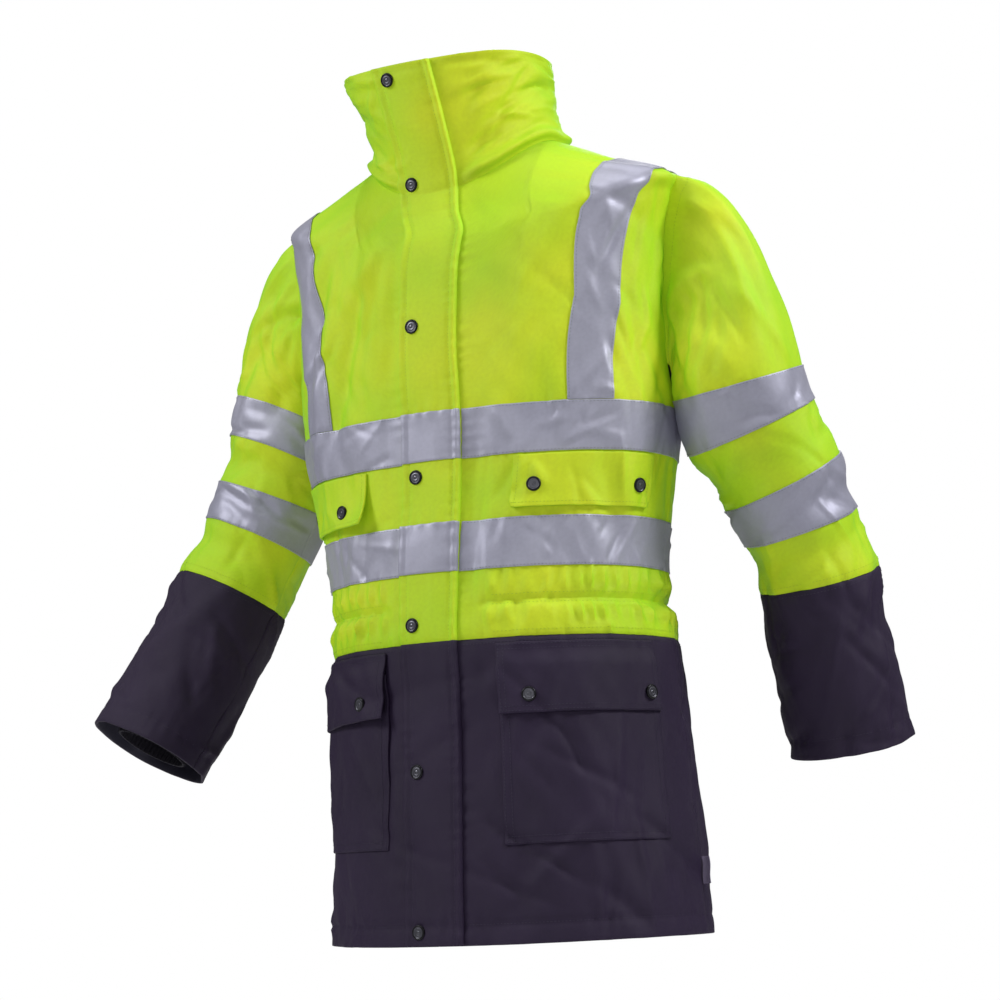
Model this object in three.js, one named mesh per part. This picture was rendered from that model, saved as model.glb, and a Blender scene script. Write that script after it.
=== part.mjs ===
// Hi-vis work jacket: a padded, thigh-length parka in its worn form, with no wearer in it.
// Millimetres, +Z up. The wearer faces -Y and the wearer's left arm is on +X.
// The origin is the middle of the neck opening, level with the sides of the neck seam.

import * as THREE from 'three';

const { degToRad, lerp, clamp } = THREE.MathUtils;

// Cloth, tape and fastener sizes
const CLOTH = 3.0;            // padded shell cloth of body and sleeves
const COLLAR_CLOTH = 5.0;     // collar, two padded layers
const FLAP_CLOTH = 2.6;       // pocket cloth and flaps
const PLACKET_CLOTH = 3.2;    // storm flap over the zip
const KNIT = 2.4;             // knitted storm cuff
const TAPE = 1.0;             // reflective tape
const SEAM = 0.35;            // clearance between sewn pieces
const LAID = 0.4;             // clearance under a piece that lies on another
const SNAP = { radius: 7.5, height: 2.6, bevel: 1, dish: 0.8, seat: 0.7, sides: 9 };

// Heights on the body, as drops below the sides of the neck
const HEM = 820;
const SHOULDER_TIP = 54;
const NAVY_SEAM = 525;
const CHEST_TAPE = { top: 292, bottom: 342 };
const WAIST_TAPE = { top: 406, bottom: 456 };
const GATHER = { upper: 473, line: 487, lower: 501, bottom: 514 };
const SKIRT_MIDDLE = 775;
const LOWER_POCKET = {
  top: 531, mouth: 550, flapMiddle: 575, flapEnd: 598, upper: 641, lower: 684, bottom: 726,
};
const CHEST_FLAP = { top: 344, middle: 371, bottom: 397 };

// Angles round the body, in degrees from the front centre towards the wearer's left
const SIDE_SEAM = 96;
const SHOULDER_SEAM = 90;

// Sections of the body from hem to neck. down, front and back are the drops of a section's
// sides, front and back; half, fore and aft are its half width and its depths each way;
// cx and cy place its centre; turn swings its front towards the wearer's right.
const BODY = [
  { down: 820, front: 823, back: 815, half: 204, fore: 156, aft: 136, cx: 13, cy: 24, turn: 5, power: 2.25 },
  { down: 740, front: 742, back: 738, half: 200, fore: 153, aft: 136, cx: 13, cy: 22, turn: 4.8, power: 2.25 },
  { down: 670, front: 671, back: 669, half: 196, fore: 148, aft: 134, cx: 12, cy: 20, turn: 4.5, power: 2.25 },
  { down: 600, front: 600, back: 600, half: 192, fore: 144, aft: 131, cx: 11, cy: 18, turn: 4, power: 2.25 },
  { down: 525, front: 525, back: 525, half: 188, fore: 141, aft: 128, cx: 9, cy: 15, turn: 4, power: 2.25 },
  { down: 487, front: 487, back: 487, half: 181, fore: 137, aft: 122, cx: 7, cy: 12, turn: 3, power: 2.25 },
  { down: 428, front: 428, back: 428, half: 185, fore: 132, aft: 120, cx: 6, cy: 10, turn: 2, power: 2.25 },
  { down: 371, front: 371, back: 371, half: 195, fore: 126, aft: 118, cx: 6, cy: 8, turn: 1, power: 2.3 },
  { down: 314, front: 314, back: 314, half: 205, fore: 121, aft: 117, cx: 5, cy: 4, turn: 0, power: 2.3 },
  { down: 280, front: 280, back: 280, half: 208, fore: 119, aft: 117, cx: 5, cy: 2, turn: 0, power: 2.3 },
  { down: 220, front: 230, back: 214, half: 209, fore: 118, aft: 117, cx: 4, cy: 0, turn: 0, power: 2.3 },
  { down: 160, front: 184, back: 150, half: 210, fore: 117, aft: 115, cx: 6, cy: -1, turn: 0, power: 2.3 },
  { down: 105, front: 144, back: 96, half: 214, fore: 114, aft: 110, cx: 8, cy: -3, turn: 0, power: 2.3 },
  { down: 74, front: 119, back: 68, half: 219, fore: 109, aft: 103, cx: 11, cy: -5, turn: 0, power: 2.3 },
  { down: 54, front: 105, back: 50, half: 222, fore: 104, aft: 97, cx: 12, cy: -6, turn: 0, power: 2.3 },
  { down: 31, front: 84, back: 18, half: 170, fore: 95, aft: 92, cx: 4, cy: -8, turn: 0, power: 2.3 },
  { down: 0, front: 59, back: -23, half: 105, fore: 87, aft: 86, cx: 0, cy: -10, turn: 0, power: 2.2 },
];

// Broad folds of the body. angle and down place the middle, length runs along the fold,
// lean tips its top towards the wearer's left, width is its half width, rise is its height.
const BODY_FOLDS = [
  { angle: 24, down: 395, length: 170, lean: 2, width: 13, rise: -6 },
  { angle: -30, down: 215, length: 190, lean: 14, width: 15, rise: -6 },
  { angle: -44, down: 250, length: 150, lean: 10, width: 14, rise: 4 },
  { angle: 60, down: 395, length: 90, lean: -24, width: 14, rise: -5 },
  { angle: 70, down: 640, length: 220, lean: 3, width: 20, rise: -5 },
  { angle: -64, down: 650, length: 200, lean: -4, width: 18, rise: -5 },
  { angle: 150, down: 380, length: 180, lean: 12, width: 18, rise: -6 },
  { angle: -150, down: 390, length: 170, lean: -12, width: 18, rise: -6 },
  { angle: 172, down: 660, length: 240, lean: 4, width: 22, rise: -6 },
  { angle: -140, down: 680, length: 220, lean: -6, width: 20, rise: -5 },
];

// Columns of the body panels. chest is the distance from the centre line where the armhole
// starts, and top is the distance where the column ends, on the neck seam or shoulder seam.
const NECK_HALF = 105;
const COLUMNS = [
  { chest: 30, top: 34 },
  { chest: 65, top: 68 },
  { chest: 76, top: 92 },
  { chest: 88, top: NECK_HALF },
  { chest: 114, top: 144 },
  { chest: 138, top: 176 },
  { chest: 158, top: 196 },
  { chest: 177, top: 216 },
];
const BRACE_COLUMNS = { first: 6, last: 8 };
const SIDE_SHARES = [0.3, 0.58];   // columns between the brace and the side seam or armhole
const BODICE_STEPS = [0, 0.11, 0.22, 0.33, 0.44, 0.55, 0.65, 0.75, 0.84, 0.92, 1];
const COLUMN_EASE = { front: 1.6, back: 3 };   // how late a column swings out to its top
const SHOULDER_GAP = 0.06;     // degrees between a panel's top and the shoulder seam
const HALVINGS = { side: 18, shoulder: 30 };

// Armholes. bottom is the drop of the lowest point; fore and aft are how far the oval
// reaches to the front and to the back of the seams, in degrees.
const ARMHOLES = {
  left: { bottom: 281, fore: 6, aft: 23 },
  right: { bottom: 254, fore: 8, aft: 22 },
};
const ARMHOLE_POWER = 0.8;

// Waist gathers: the puckers' height, their share on the line itself, where they start from
// the front centre and over which angle they grow, and how uneven they are.
const PUCKERS = {
  height: 4.5, onLine: 0.45, from: 12, grow: 6, front: 15, back: 30,
  shift: 0.16, shiftBeat: 2.4, uneven: 0.25, unevenBeat: 1.3, panelBeat: 0.01,
};

// Stations down each sleeve: the middle of a section, and its half widths across and through.
// lean lowers the inner side and nod the front side, along the arm.
const SLEEVES = {
  left: [
    { name: 'upperTapeTop', x: 272, y: 38, z: -269, across: 66, through: 66, lean: 0, nod: 0 },
    { name: 'upperTapeEnd', x: 279, y: 51, z: -314, across: 69, through: 67, lean: 0, nod: 0 },
    { name: 'lowerTapeTop', x: 301, y: 76, z: -368, across: 65, through: 64, lean: 0, nod: 0 },
    { name: 'lowerTapeEnd', x: 313, y: 93, z: -415, across: 58, through: 60, lean: 0, nod: 0 },
    { name: 'navySeam', x: 321, y: 111, z: -468, across: 60, through: 60, lean: 0, nod: 0 },
    { name: 'forearm', x: 325, y: 133, z: -548, across: 63, through: 62, lean: 0, nod: 0 },
    { name: 'cuff', x: 330, y: 157, z: -636, across: 63, through: 60, lean: 0, nod: 0 },
  ],
  right: [
    { name: 'upperTapeTop', x: -263, y: 45, z: -243, across: 62, through: 63, lean: 14, nod: -9 },
    { name: 'upperTapeEnd', x: -271, y: 44, z: -287, across: 64, through: 65, lean: 10, nod: -7 },
    { name: 'lowerTapeTop', x: -285, y: 40, z: -334, across: 62, through: 63, lean: 2, nod: 0 },
    { name: 'lowerTapeEnd', x: -302, y: 31, z: -379, across: 61, through: 62, lean: 0, nod: 0 },
    { name: 'navySeam', x: -328, y: 15, z: -438, across: 64, through: 63, lean: 0, nod: 0 },
    { name: 'forearm', x: -366, y: -15, z: -533, across: 66, through: 64, lean: 0, nod: 0 },
    { name: 'cuff', x: -396, y: -49, z: -609, across: 67, through: 64, lean: 0, nod: 0 },
  ],
};
const SLEEVE_COLUMNS = 2 * (BODICE_STEPS.length - 1);
const CAP_STEPS = [0, 0.1, 0.26, 0.46, 0.72, 1];
const RING_POWER = 0.92;
const HEAD_CURVE = { tilt: -0.3, out: 0.95, down: 1.05 };   // slopes at the head's two ends

// Least distance of a sleeve from the body's side, and where it grows round the armhole's foot
const SLEEVE_CLEAR = { least: 4.5, above: 32, grow: 34 };

// Broad folds round the sleeves: at is the station number, around is the angle of the
// middle in degrees from the inner side through the front, reach is the half angle.
const SLEEVE_FOLDS = {
  left: [
    { at: 1.5, around: 60, reach: 70, width: 0.3, rise: -7 },
    { at: 2.55, around: 170, reach: 60, width: 0.28, rise: -7 },
    { at: 3.4, around: 90, reach: 80, width: 0.3, rise: -5 },
    { at: 4.6, around: 200, reach: 70, width: 0.3, rise: -4 },
  ],
  right: [
    { at: 1.5, around: 120, reach: 80, width: 0.3, rise: -6 },
    { at: 3.45, around: 100, reach: 70, width: 0.28, rise: -7 },
    { at: 4.5, around: 150, reach: 60, width: 0.3, rise: -4 },
  ],
};

// Collar sections from the neck seam to the top edge. side, front and back are heights.
const COLLAR = [
  { side: 0, front: -59, back: 23, half: 105, fore: 87, aft: 86, cx: 0, cy: -10 },
  { side: 20, front: -32, back: 44, half: 103, fore: 90, aft: 83, cx: -1, cy: -12 },
  { side: 43, front: 4, back: 68, half: 104, fore: 95, aft: 80, cx: -4, cy: -17 },
  { side: 67, front: 42, back: 93, half: 109, fore: 98, aft: 79, cx: -8, cy: -24 },
  { side: 86, front: 74, back: 113, half: 114, fore: 99, aft: 80, cx: -12, cy: -31 },
];
const COLLAR_POWER = 2.2;
const COLLAR_COLUMNS = 13;
const COLLAR_GAP = 0.3;         // degrees from the front centre to each end of the collar

// Storm flap: distances of the free edge and the sewn edge from the front centre, how far
// each stands off the fronts, and the share of its width where it starts to come down.
const PLACKET = { free: -36, sewn: 29, columns: 4, freeLift: 2.1, sewnLift: 0.25, bend: 0.6 };
const PLACKET_LEVELS = {
  yellow: [
    490, WAIST_TAPE.bottom, WAIST_TAPE.top, 374, CHEST_TAPE.bottom, CHEST_TAPE.top,
    250, 205, 160, 115, 75, 40,
  ],
  navy: [780, 732, 690, 645, 600, 560],
};

// Pockets: how far each flap's inner corner is lifted, the patch's swell, the flap's ripple
// and edge, and the gap between the patch's mouth and the flap's fold.
const POCKET_SHAPE = {
  corner: { left: 2.5, right: 9 }, swell: 2.2, cover: 1.1, under: 0.55,
  ripple: 0.8, rippleTurns: 5, edge: 3, gap: 2,
};
const CHEST_SHAPE = { corner: { left: 1, right: 10 }, edge: 1.2 };

// Press studs: on the pocket flaps the share across from the inner end and up from the foot,
// on the storm flap the distance from the front centre, the drops and the collar's steps.
const LOWER_SNAPS = [[0.16, 0.26], [0.93, 0.26]];
const CHEST_SNAPS = { left: [[0.13, 0.42], [0.87, 0.4]], right: [[0.2, 0.3], [0.87, 0.4]] };
const SNAP_DISTANCE = -20;
const PLACKET_SNAPS = [184, 357, 507, 652, 806];
const COLLAR_SNAPS = [0.42, 3.55];
const CHEST_STUD = { distance: -98, up: 16, scale: 0.7 };

// Knitted storm cuffs, from their seam inside the sleeve to the wrist
const STORM_CUFF_SEAM = { row: 3, at: 5.06, radius: 53 };
const STORM_CUFF = [
  { at: 5.25, radius: 47 }, { at: 5.5, radius: 44 }, { at: 5.75, radius: 42 }, { at: 5.95, radius: 40 },
];

// A plain tab in the left side seam
const TAB = { top: 744, bottom: 771, reach: 9, cloth: 0.35, angle: 96.5 };

const COLORS = {
  yellow: { color: 0xc3d62f, roughness: 0.75, metalness: 0.0 },
  navy: { color: 0x2b2740, roughness: 0.8, metalness: 0.0 },
  tape: { color: 0xa7a8b8, roughness: 0.45, metalness: 0.3 },
  knit: { color: 0x1e1b2a, roughness: 0.95, metalness: 0.0 },
  snap: { color: 0x26262b, roughness: 0.4, metalness: 0.6 },
  label: { color: 0xb9b2cc, roughness: 0.8, metalness: 0.0 },
};

const jacket = new THREE.Group();

function addMesh(name, geometry, finish) {
  const mesh = new THREE.Mesh(geometry, new THREE.MeshStandardMaterial(COLORS[finish]));
  mesh.name = name;
  jacket.add(mesh);
}

// Weights of a cubic between two ends: first end, its slope, second end, its slope.
function cubicWeights(t) {
  return [2 * t ** 3 - 3 * t ** 2 + 1, t ** 3 - 2 * t ** 2 + t, 3 * t ** 2 - 2 * t ** 3, t ** 3 - t ** 2];
}

// Values between table rows: a cubic whose slope at a row is that between its neighbours.
function smoothRow(table, key, at) {
  const rising = table[table.length - 1][key] > table[0][key];
  const rows = rising ? table : [...table].reverse();
  const place = clamp(at, rows[0][key], rows[rows.length - 1][key]);
  let i = 0;
  while (i < rows.length - 2 && rows[i + 1][key] < place) i += 1;
  const before = rows[Math.max(i - 1, 0)];
  const [a, b] = [rows[i], rows[i + 1]];
  const after = rows[Math.min(i + 2, rows.length - 1)];
  const span = b[key] - a[key];
  const h = cubicWeights((place - a[key]) / span);
  const result = {};
  for (const column of Object.keys(a)) {
    if (typeof a[column] !== 'number') continue;
    const slopeIn = (b[column] - before[column]) / (b[key] - before[key] || 1);
    const slopeOut = (after[column] - a[column]) / (after[key] - a[key] || 1);
    result[column] = h[0] * a[column] + h[1] * span * slopeIn
      + h[2] * b[column] + h[3] * span * slopeOut;
  }
  return result;
}

function signedPower(value, power) {
  return Math.sign(value) * Math.abs(value) ** power;
}

// How far the folds lift the cloth at a place on the body.
function bodyFoldRise(angle, down, section) {
  const radius = (section.half + section.fore) / 2;
  let rise = 0;
  for (const fold of BODY_FOLDS) {
    let swing = angle - fold.angle;
    swing -= 360 * Math.round(swing / 360);
    const across = degToRad(swing) * radius;
    const along = down - fold.down;
    const lean = degToRad(fold.lean);
    const side = across * Math.cos(lean) + along * Math.sin(lean);
    const run = along * Math.cos(lean) - across * Math.sin(lean);
    rise += fold.rise * Math.exp(-((side / fold.width) ** 2) - (run / (fold.length / 2)) ** 4);
  }
  return rise;
}

function bodySkin(angle, down, folded = true) {
  const section = smoothRow(BODY, 'down', down);
  const sine = Math.sin(degToRad(angle));
  const cosine = Math.cos(degToRad(angle));
  const fold = folded ? bodyFoldRise(angle, down, section) : 0;
  const depth = cosine > 0 ? section.fore : section.aft;
  const drop = cosine > 0 ? section.front : section.back;
  const x = (section.half + fold) * signedPower(sine, 2 / section.power);
  const y = -(depth + fold) * signedPower(cosine, 2 / section.power);
  const turn = -degToRad(section.turn);
  return new THREE.Vector3(
    section.cx + x * Math.cos(turn) - y * Math.sin(turn),
    section.cy + x * Math.sin(turn) + y * Math.cos(turn),
    -(section.down + (drop - section.down) * cosine * cosine),
  );
}

// A point of the body cloth's outer face, moved out by lift square to the unfolded body.
function bodyPoint(angle, down, lift = 0) {
  const point = bodySkin(angle, down);
  const around = bodySkin(angle + 1, down, false).sub(bodySkin(angle - 1, down, false));
  const [below, above] = [Math.min(down + 2, HEM), Math.max(down - 2, 0)];
  const along = bodySkin(angle, below, false).sub(bodySkin(angle, above, false));
  return point.addScaledVector(along.cross(around).normalize(), lift);
}

// The x of the body's side at a depth y and a drop.
function bodySide(side, y, down) {
  const sign = side === 'left' ? 1 : -1;
  let [front, back] = [20, 160];
  for (let step = 0; step < HALVINGS.side; step += 1) {
    const middle = (front + back) / 2;
    if (bodySkin(sign * middle, down).y < y) front = middle;
    else back = middle;
  }
  return sign * bodySkin(sign * front, down).x;
}

// The angle of a point at a distance from the centre line of a section, on one side of it.
function angleAt(distance, down) {
  const section = smoothRow(BODY, 'down', down);
  const share = clamp(Math.abs(distance) / section.half, 0, 1);
  const angle = THREE.MathUtils.radToDeg(Math.asin(share ** (section.power / 2)));
  return Math.sign(distance) * angle;
}

// The drop on the shoulder seam where the body is a given half width.
function shoulderDrop(distance) {
  let [low, high] = [0, SHOULDER_TIP];
  for (let step = 0; step < HALVINGS.shoulder; step += 1) {
    const middle = (low + high) / 2;
    if (smoothRow(BODY, 'down', middle).half < distance) low = middle;
    else high = middle;
  }
  return (low + high) / 2;
}

// Places spread along a track by real length. A track gives an angle and a drop from 0 to 1.
function spread(track, shares) {
  const steps = 120;
  const lengths = [0];
  let last = bodySkin(...track(0));
  for (let step = 1; step <= steps; step += 1) {
    const next = bodySkin(...track(step / steps));
    lengths.push(lengths[step - 1] + next.distanceTo(last));
    last = next;
  }
  return shares.map((share) => {
    const goal = share * lengths[steps];
    let step = 1;
    while (step < steps && lengths[step] < goal) step += 1;
    const part = (goal - lengths[step - 1]) / (lengths[step] - lengths[step - 1] || 1);
    return track((step - 1 + clamp(part, 0, 1)) / steps);
  });
}

// The edge of an armhole, from its lowest point up to the shoulder tip, in front or behind.
function armholeEdge(side, face) {
  const hole = ARMHOLES[side];
  const middle = (hole.bottom + SHOULDER_TIP) / 2;
  const reach = (hole.bottom - SHOULDER_TIP) / 2;
  return (t) => {
    const swing = Math.PI * t;
    const seam = lerp(SIDE_SEAM, SHOULDER_SEAM, t);
    const width = face === 'front' ? -hole.fore : hole.aft;
    return [seam + width * Math.sin(swing) ** ARMHOLE_POWER, middle + reach * Math.cos(swing)];
  };
}

// A column of a body panel between the armhole's foot and the neck or shoulder seam.
function bodiceColumn(column, bottom, face) {
  const end = column.top <= NECK_HALF ? 0 : shoulderDrop(column.top);
  return (t) => {
    const down = end + (bottom - end) * (1 - t) ** 2;
    const share = ((bottom - down) / (bottom - end)) ** COLUMN_EASE[face];
    const distance = lerp(column.chest, column.top, share);
    const front = angleAt(distance, down);
    return [face === 'front' ? front : 180 - front, down];
  };
}

// Angles of a panel's columns on a level section, from the centre line to the side seam.
function levelAngles(down, face) {
  const chest = smoothRow(BODY, 'down', ARMHOLES.left.bottom).half;
  const section = smoothRow(BODY, 'down', down);
  const angles = COLUMNS.map((column) => angleAt(column.chest * section.half / chest, down));
  const turned = face === 'front' ? angles : angles.map((angle) => 180 - angle);
  const last = turned[turned.length - 1];
  return [...turned, ...SIDE_SHARES.map((share) => lerp(last, SIDE_SEAM, share)), SIDE_SEAM];
}

function evenShares(count) {
  return Array.from({ length: count }, (_, i) => i / (count - 1));
}

// A row of places: points for a list of [angle, drop] pairs at a lift from the body's skin.
function makeRow(places, lift, shares = evenShares(places.length)) {
  const points = places.map(([angle, down], i) => (
    bodyPoint(angle, down, typeof lift === 'function' ? lift(shares[i], i) : lift)
  ));
  return { points, shares };
}

// Joins two rows of numbered corners with triangles, each next corner in order of its share.
function stitch(faces, a, b, turned = false) {
  const add = (one, two, three) => faces.push(one, ...(turned ? [three, two] : [two, three]));
  let [i, j] = [0, 0];
  while (i < a.ids.length - 1 || j < b.ids.length - 1) {
    const nextA = i < a.ids.length - 1 ? a.shares[i + 1] : Infinity;
    const nextB = j < b.ids.length - 1 ? b.shares[j + 1] : Infinity;
    if (nextA <= nextB + 1e-6) {
      add(a.ids[i], a.ids[i + 1], b.ids[j]);
      i += 1;
    } else {
      add(a.ids[i], b.ids[j + 1], b.ids[j]);
      j += 1;
    }
  }
}

// The closed solid between an outer and an inner sheet of rows. A ring's rows close round.
function wall(outer, inner, ring = false) {
  const positions = [];
  const faces = [];
  const number = (rows) => rows.map((row) => {
    const ids = row.points.map((point) => {
      positions.push(point.x, point.y, point.z);
      return positions.length / 3 - 1;
    });
    return ring ? { ids: [...ids, ids[0]], shares: [...row.shares, 1] } : { ids, shares: row.shares };
  });
  const out = number(outer);
  const back = number(inner);
  for (let r = 0; r < out.length - 1; r += 1) stitch(faces, out[r], out[r + 1]);
  for (let r = 0; r < back.length - 1; r += 1) stitch(faces, back[r], back[r + 1], true);
  stitch(faces, back[0], out[0]);
  stitch(faces, out[out.length - 1], back[back.length - 1]);
  if (!ring) {
    const edge = (rows, source, pick) => ({
      ids: rows.map((row) => row.ids[pick(row.ids)]),
      shares: source.map((row, i) => row.height ?? i / (source.length - 1)),
    });
    const first = () => 0;
    const last = (ids) => ids.length - 1;
    stitch(faces, edge(out, outer, first), edge(back, inner, first));
    stitch(faces, edge(back, inner, last), edge(out, outer, last));
  }
  return closedGeometry(positions, faces);
}

// An indexed geometry whose faces point out of the solid.
function closedGeometry(positions, faces) {
  const geometry = new THREE.BufferGeometry();
  geometry.setAttribute('position', new THREE.Float32BufferAttribute(positions, 3));
  const corner = (id) => new THREE.Vector3(...positions.slice(3 * id, 3 * id + 3));
  let volume = 0;
  for (let f = 0; f < faces.length; f += 3) {
    volume += corner(faces[f]).dot(corner(faces[f + 1]).cross(corner(faces[f + 2])));
  }
  geometry.setIndex(volume < 0 ? faces.reverse() : faces);
  geometry.computeVertexNormals();
  return geometry;
}

// Moves the ends of a row of places in along the section by half the seam clearance.
function trimPlaces(places) {
  const trimmed = places.map((place) => [...place]);
  const count = places.length;
  const nudge = (end, next) => {
    const gap = bodySkin(...places[end]).distanceTo(bodySkin(...places[next]));
    const part = SEAM / 2 / gap;
    trimmed[end] = places[end].map((value, i) => lerp(value, places[next][i], part));
  };
  nudge(0, 1);
  nudge(count - 1, count - 2);
  return trimmed;
}

// Places of a level row on one panel: one front half, or the whole back.
function levelPlaces(panel, down) {
  if (panel === 'back') {
    const half = levelAngles(down, 'back');
    return [...half.toReversed(), 180, ...half.map((angle) => 360 - angle)].map((angle) => [angle, down]);
  }
  const sign = panel === 'left' ? 1 : -1;
  return [0, ...levelAngles(down, 'front')].map((angle) => [sign * angle, down]);
}

// Rows of places above the armhole's foot on one panel, up to the neck and shoulder seams.
function bodicePlaces(panel) {
  const trace = (side, face) => {
    const { bottom } = ARMHOLES[side];
    const level = ARMHOLES.left.bottom;
    const foot = (column) => lerp(level, bottom, column.chest / COLUMNS[COLUMNS.length - 1].chest);
    const centre = (t) => [face === 'front' ? 0 : 180, level * (1 - t)];
    const tracks = [centre, ...COLUMNS.map((column) => bodiceColumn(column, foot(column), face))];
    const columns = tracks.map((track) => spread(track, BODICE_STEPS));
    const edge = spread(armholeEdge(side, face), BODICE_STEPS);
    const last = columns[columns.length - 1];
    const between = SIDE_SHARES.map((share) => edge.map((place, r) => (
      [lerp(last[r][0], place[0], share), lerp(last[r][1], place[1], share)]
    )));
    return [...columns, ...between, edge];
  };
  if (panel !== 'back') {
    const sign = panel === 'left' ? 1 : -1;
    const columns = trace(panel, 'front');
    return BODICE_STEPS.map((_, r) => columns.map((column) => [sign * column[r][0], column[r][1]]));
  }
  const left = trace('left', 'back');
  const right = trace('right', 'back');
  return BODICE_STEPS.map((_, r) => {
    const one = left.map((column) => [...column[r]]);
    const other = right.map((column) => [360 - column[r][0], column[r][1]]);
    const middle = [180, (one[0][1] + other[0][1]) / 2];
    return [...one.slice(1).toReversed(), middle, ...other.slice(1)];
  });
}

// Waves of the waist gathers across a panel: a corner at each crest and each trough.
function gatherRow(panel, down, height, waves) {
  const coarse = levelPlaces(panel, down);
  const first = coarse[0][0];
  const last = coarse[coarse.length - 1][0];
  const corners = 2 * waves + 1;
  const shares = evenShares(corners).map((share, k) => (
    k === 0 || k === corners - 1 ? share : share + PUCKERS.shift / corners * Math.sin(PUCKERS.shiftBeat * k)
  ));
  const places = shares.map((share) => {
    const spot = share * (coarse.length - 1);
    const low = Math.min(Math.floor(spot), coarse.length - 2);
    return [lerp(coarse[low][0], coarse[low + 1][0], spot - low), down];
  });
  const rise = (_, k) => {
    const swing = Math.abs(places[k][0] - 360 * Math.round(places[k][0] / 360));
    const clear = clamp((swing - PUCKERS.from) / PUCKERS.grow, 0, 1);
    const beat = PUCKERS.unevenBeat * k + PUCKERS.panelBeat * (first + last);
    return k % 2 ? clear * height * (1 + PUCKERS.uneven * Math.sin(beat)) : 0;
  };
  return makeRow(trimPlaces(places), rise, shares);
}

const YELLOW_LEVELS = [
  GATHER.bottom, WAIST_TAPE.bottom, WAIST_TAPE.top, CHEST_FLAP.bottom, CHEST_FLAP.middle,
  CHEST_TAPE.bottom, CHEST_TAPE.top,
];
const NAVY_LEVELS = [
  HEM, SKIRT_MIDDLE, LOWER_POCKET.bottom, LOWER_POCKET.lower, LOWER_POCKET.upper,
  LOWER_POCKET.flapEnd, LOWER_POCKET.flapMiddle, LOWER_POCKET.mouth, LOWER_POCKET.top, NAVY_SEAM,
];
const BODICE_ORDER = 200;      // numbers the bodice's rows after the level rows

function addYellowPanel(name, panel) {
  const waves = panel === 'back' ? PUCKERS.back : PUCKERS.front;
  const plain = (down, lift) => makeRow(trimPlaces(levelPlaces(panel, down)), lift);
  const upper = bodicePlaces(panel).map((places, r, rows) => {
    const trimmed = trimPlaces(places);
    if (r < rows.length - 1) return trimmed;
    return trimmed.map(([angle, down]) => seamedTop(angle, down, panel));
  });
  const start = NAVY_SEAM - SEAM / 2;
  const gathers = [
    [GATHER.lower, PUCKERS.height],
    [GATHER.line, PUCKERS.onLine * PUCKERS.height],
    [GATHER.upper, PUCKERS.height],
  ];
  const outer = [
    { ...plain(start, 0), height: start },
    { ...plain(GATHER.bottom, 0), height: GATHER.bottom },
    ...gathers.map(([down, rise]) => ({ ...gatherRow(panel, down, rise, waves), height: down })),
    ...YELLOW_LEVELS.slice(1).map((down) => ({ ...plain(down, 0), height: down })),
    ...upper.map((places, r) => ({ ...makeRow(places, 0), height: BODICE_ORDER - r })),
  ];
  const inner = [
    { ...plain(start, -CLOTH), height: start },
    ...YELLOW_LEVELS.toSpliced(1, 0, GATHER.line).map((down) => ({ ...plain(down, -CLOTH), height: down })),
    ...upper.map((places, r) => ({ ...makeRow(places, -CLOTH), height: BODICE_ORDER - r })),
  ];
  for (const row of [...outer, ...inner]) row.height = -row.height;
  addMesh(name, wall(outer, inner), 'yellow');
}

// Keeps the top row of a panel clear of the neck seam and of the shoulder seam.
function seamedTop(angle, down, panel) {
  const fromFront = Math.abs(Math.abs(angle) - SHOULDER_SEAM);
  const fromBack = Math.abs(Math.abs(angle - 180) - SHOULDER_SEAM);
  const lowered = Math.max(down, SEAM);
  if (Math.min(fromFront, fromBack) >= 1) return [angle, lowered];
  if (panel === 'back') return [angle < 180 ? angle + SHOULDER_GAP : angle - SHOULDER_GAP, lowered];
  return [angle - Math.sign(angle) * SHOULDER_GAP, lowered];
}

function addNavyPanel(name, panel) {
  const rows = NAVY_LEVELS.map((down) => (down === NAVY_SEAM ? NAVY_SEAM + SEAM / 2 : down));
  const sheet = (lift) => rows.map((down) => makeRow(trimPlaces(levelPlaces(panel, down)), lift));
  addMesh(name, wall(sheet(0), sheet(-CLOTH)), 'navy');
}

// A piece that lies on the body: rows of places, moved out by the clearance and by its cloth.
function laidSheet(rows, extra, lift = () => 0) {
  return rows.map((places, r) => (
    makeRow(places, (share) => LAID + extra + lift(share, r / (rows.length - 1)))
  ));
}

function layOn(rows, cloth, lift) {
  return wall(laidSheet(rows, cloth, lift), laidSheet(rows, 0, lift));
}

// Tapes round the body, in the same pieces as the cloth under them.
function addBodyTapes(label, span) {
  const levels = [span.bottom, span.top];
  const starts = { left: PLACKET.sewn + 2 * SEAM, right: PLACKET.free + 8 };
  for (const side of ['left', 'right']) {
    const rows = levels.map((down) => trimPlaces([
      [angleAt(starts[side], down), down], ...levelPlaces(side, down).slice(2),
    ]));
    addMesh(`${label}_tape_${side}`, layOn(rows, TAPE), 'tape');
  }
  const rows = levels.map((down) => trimPlaces(levelPlaces('back', down)));
  addMesh(`${label}_tape_back`, layOn(rows, TAPE), 'tape');
}

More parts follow.
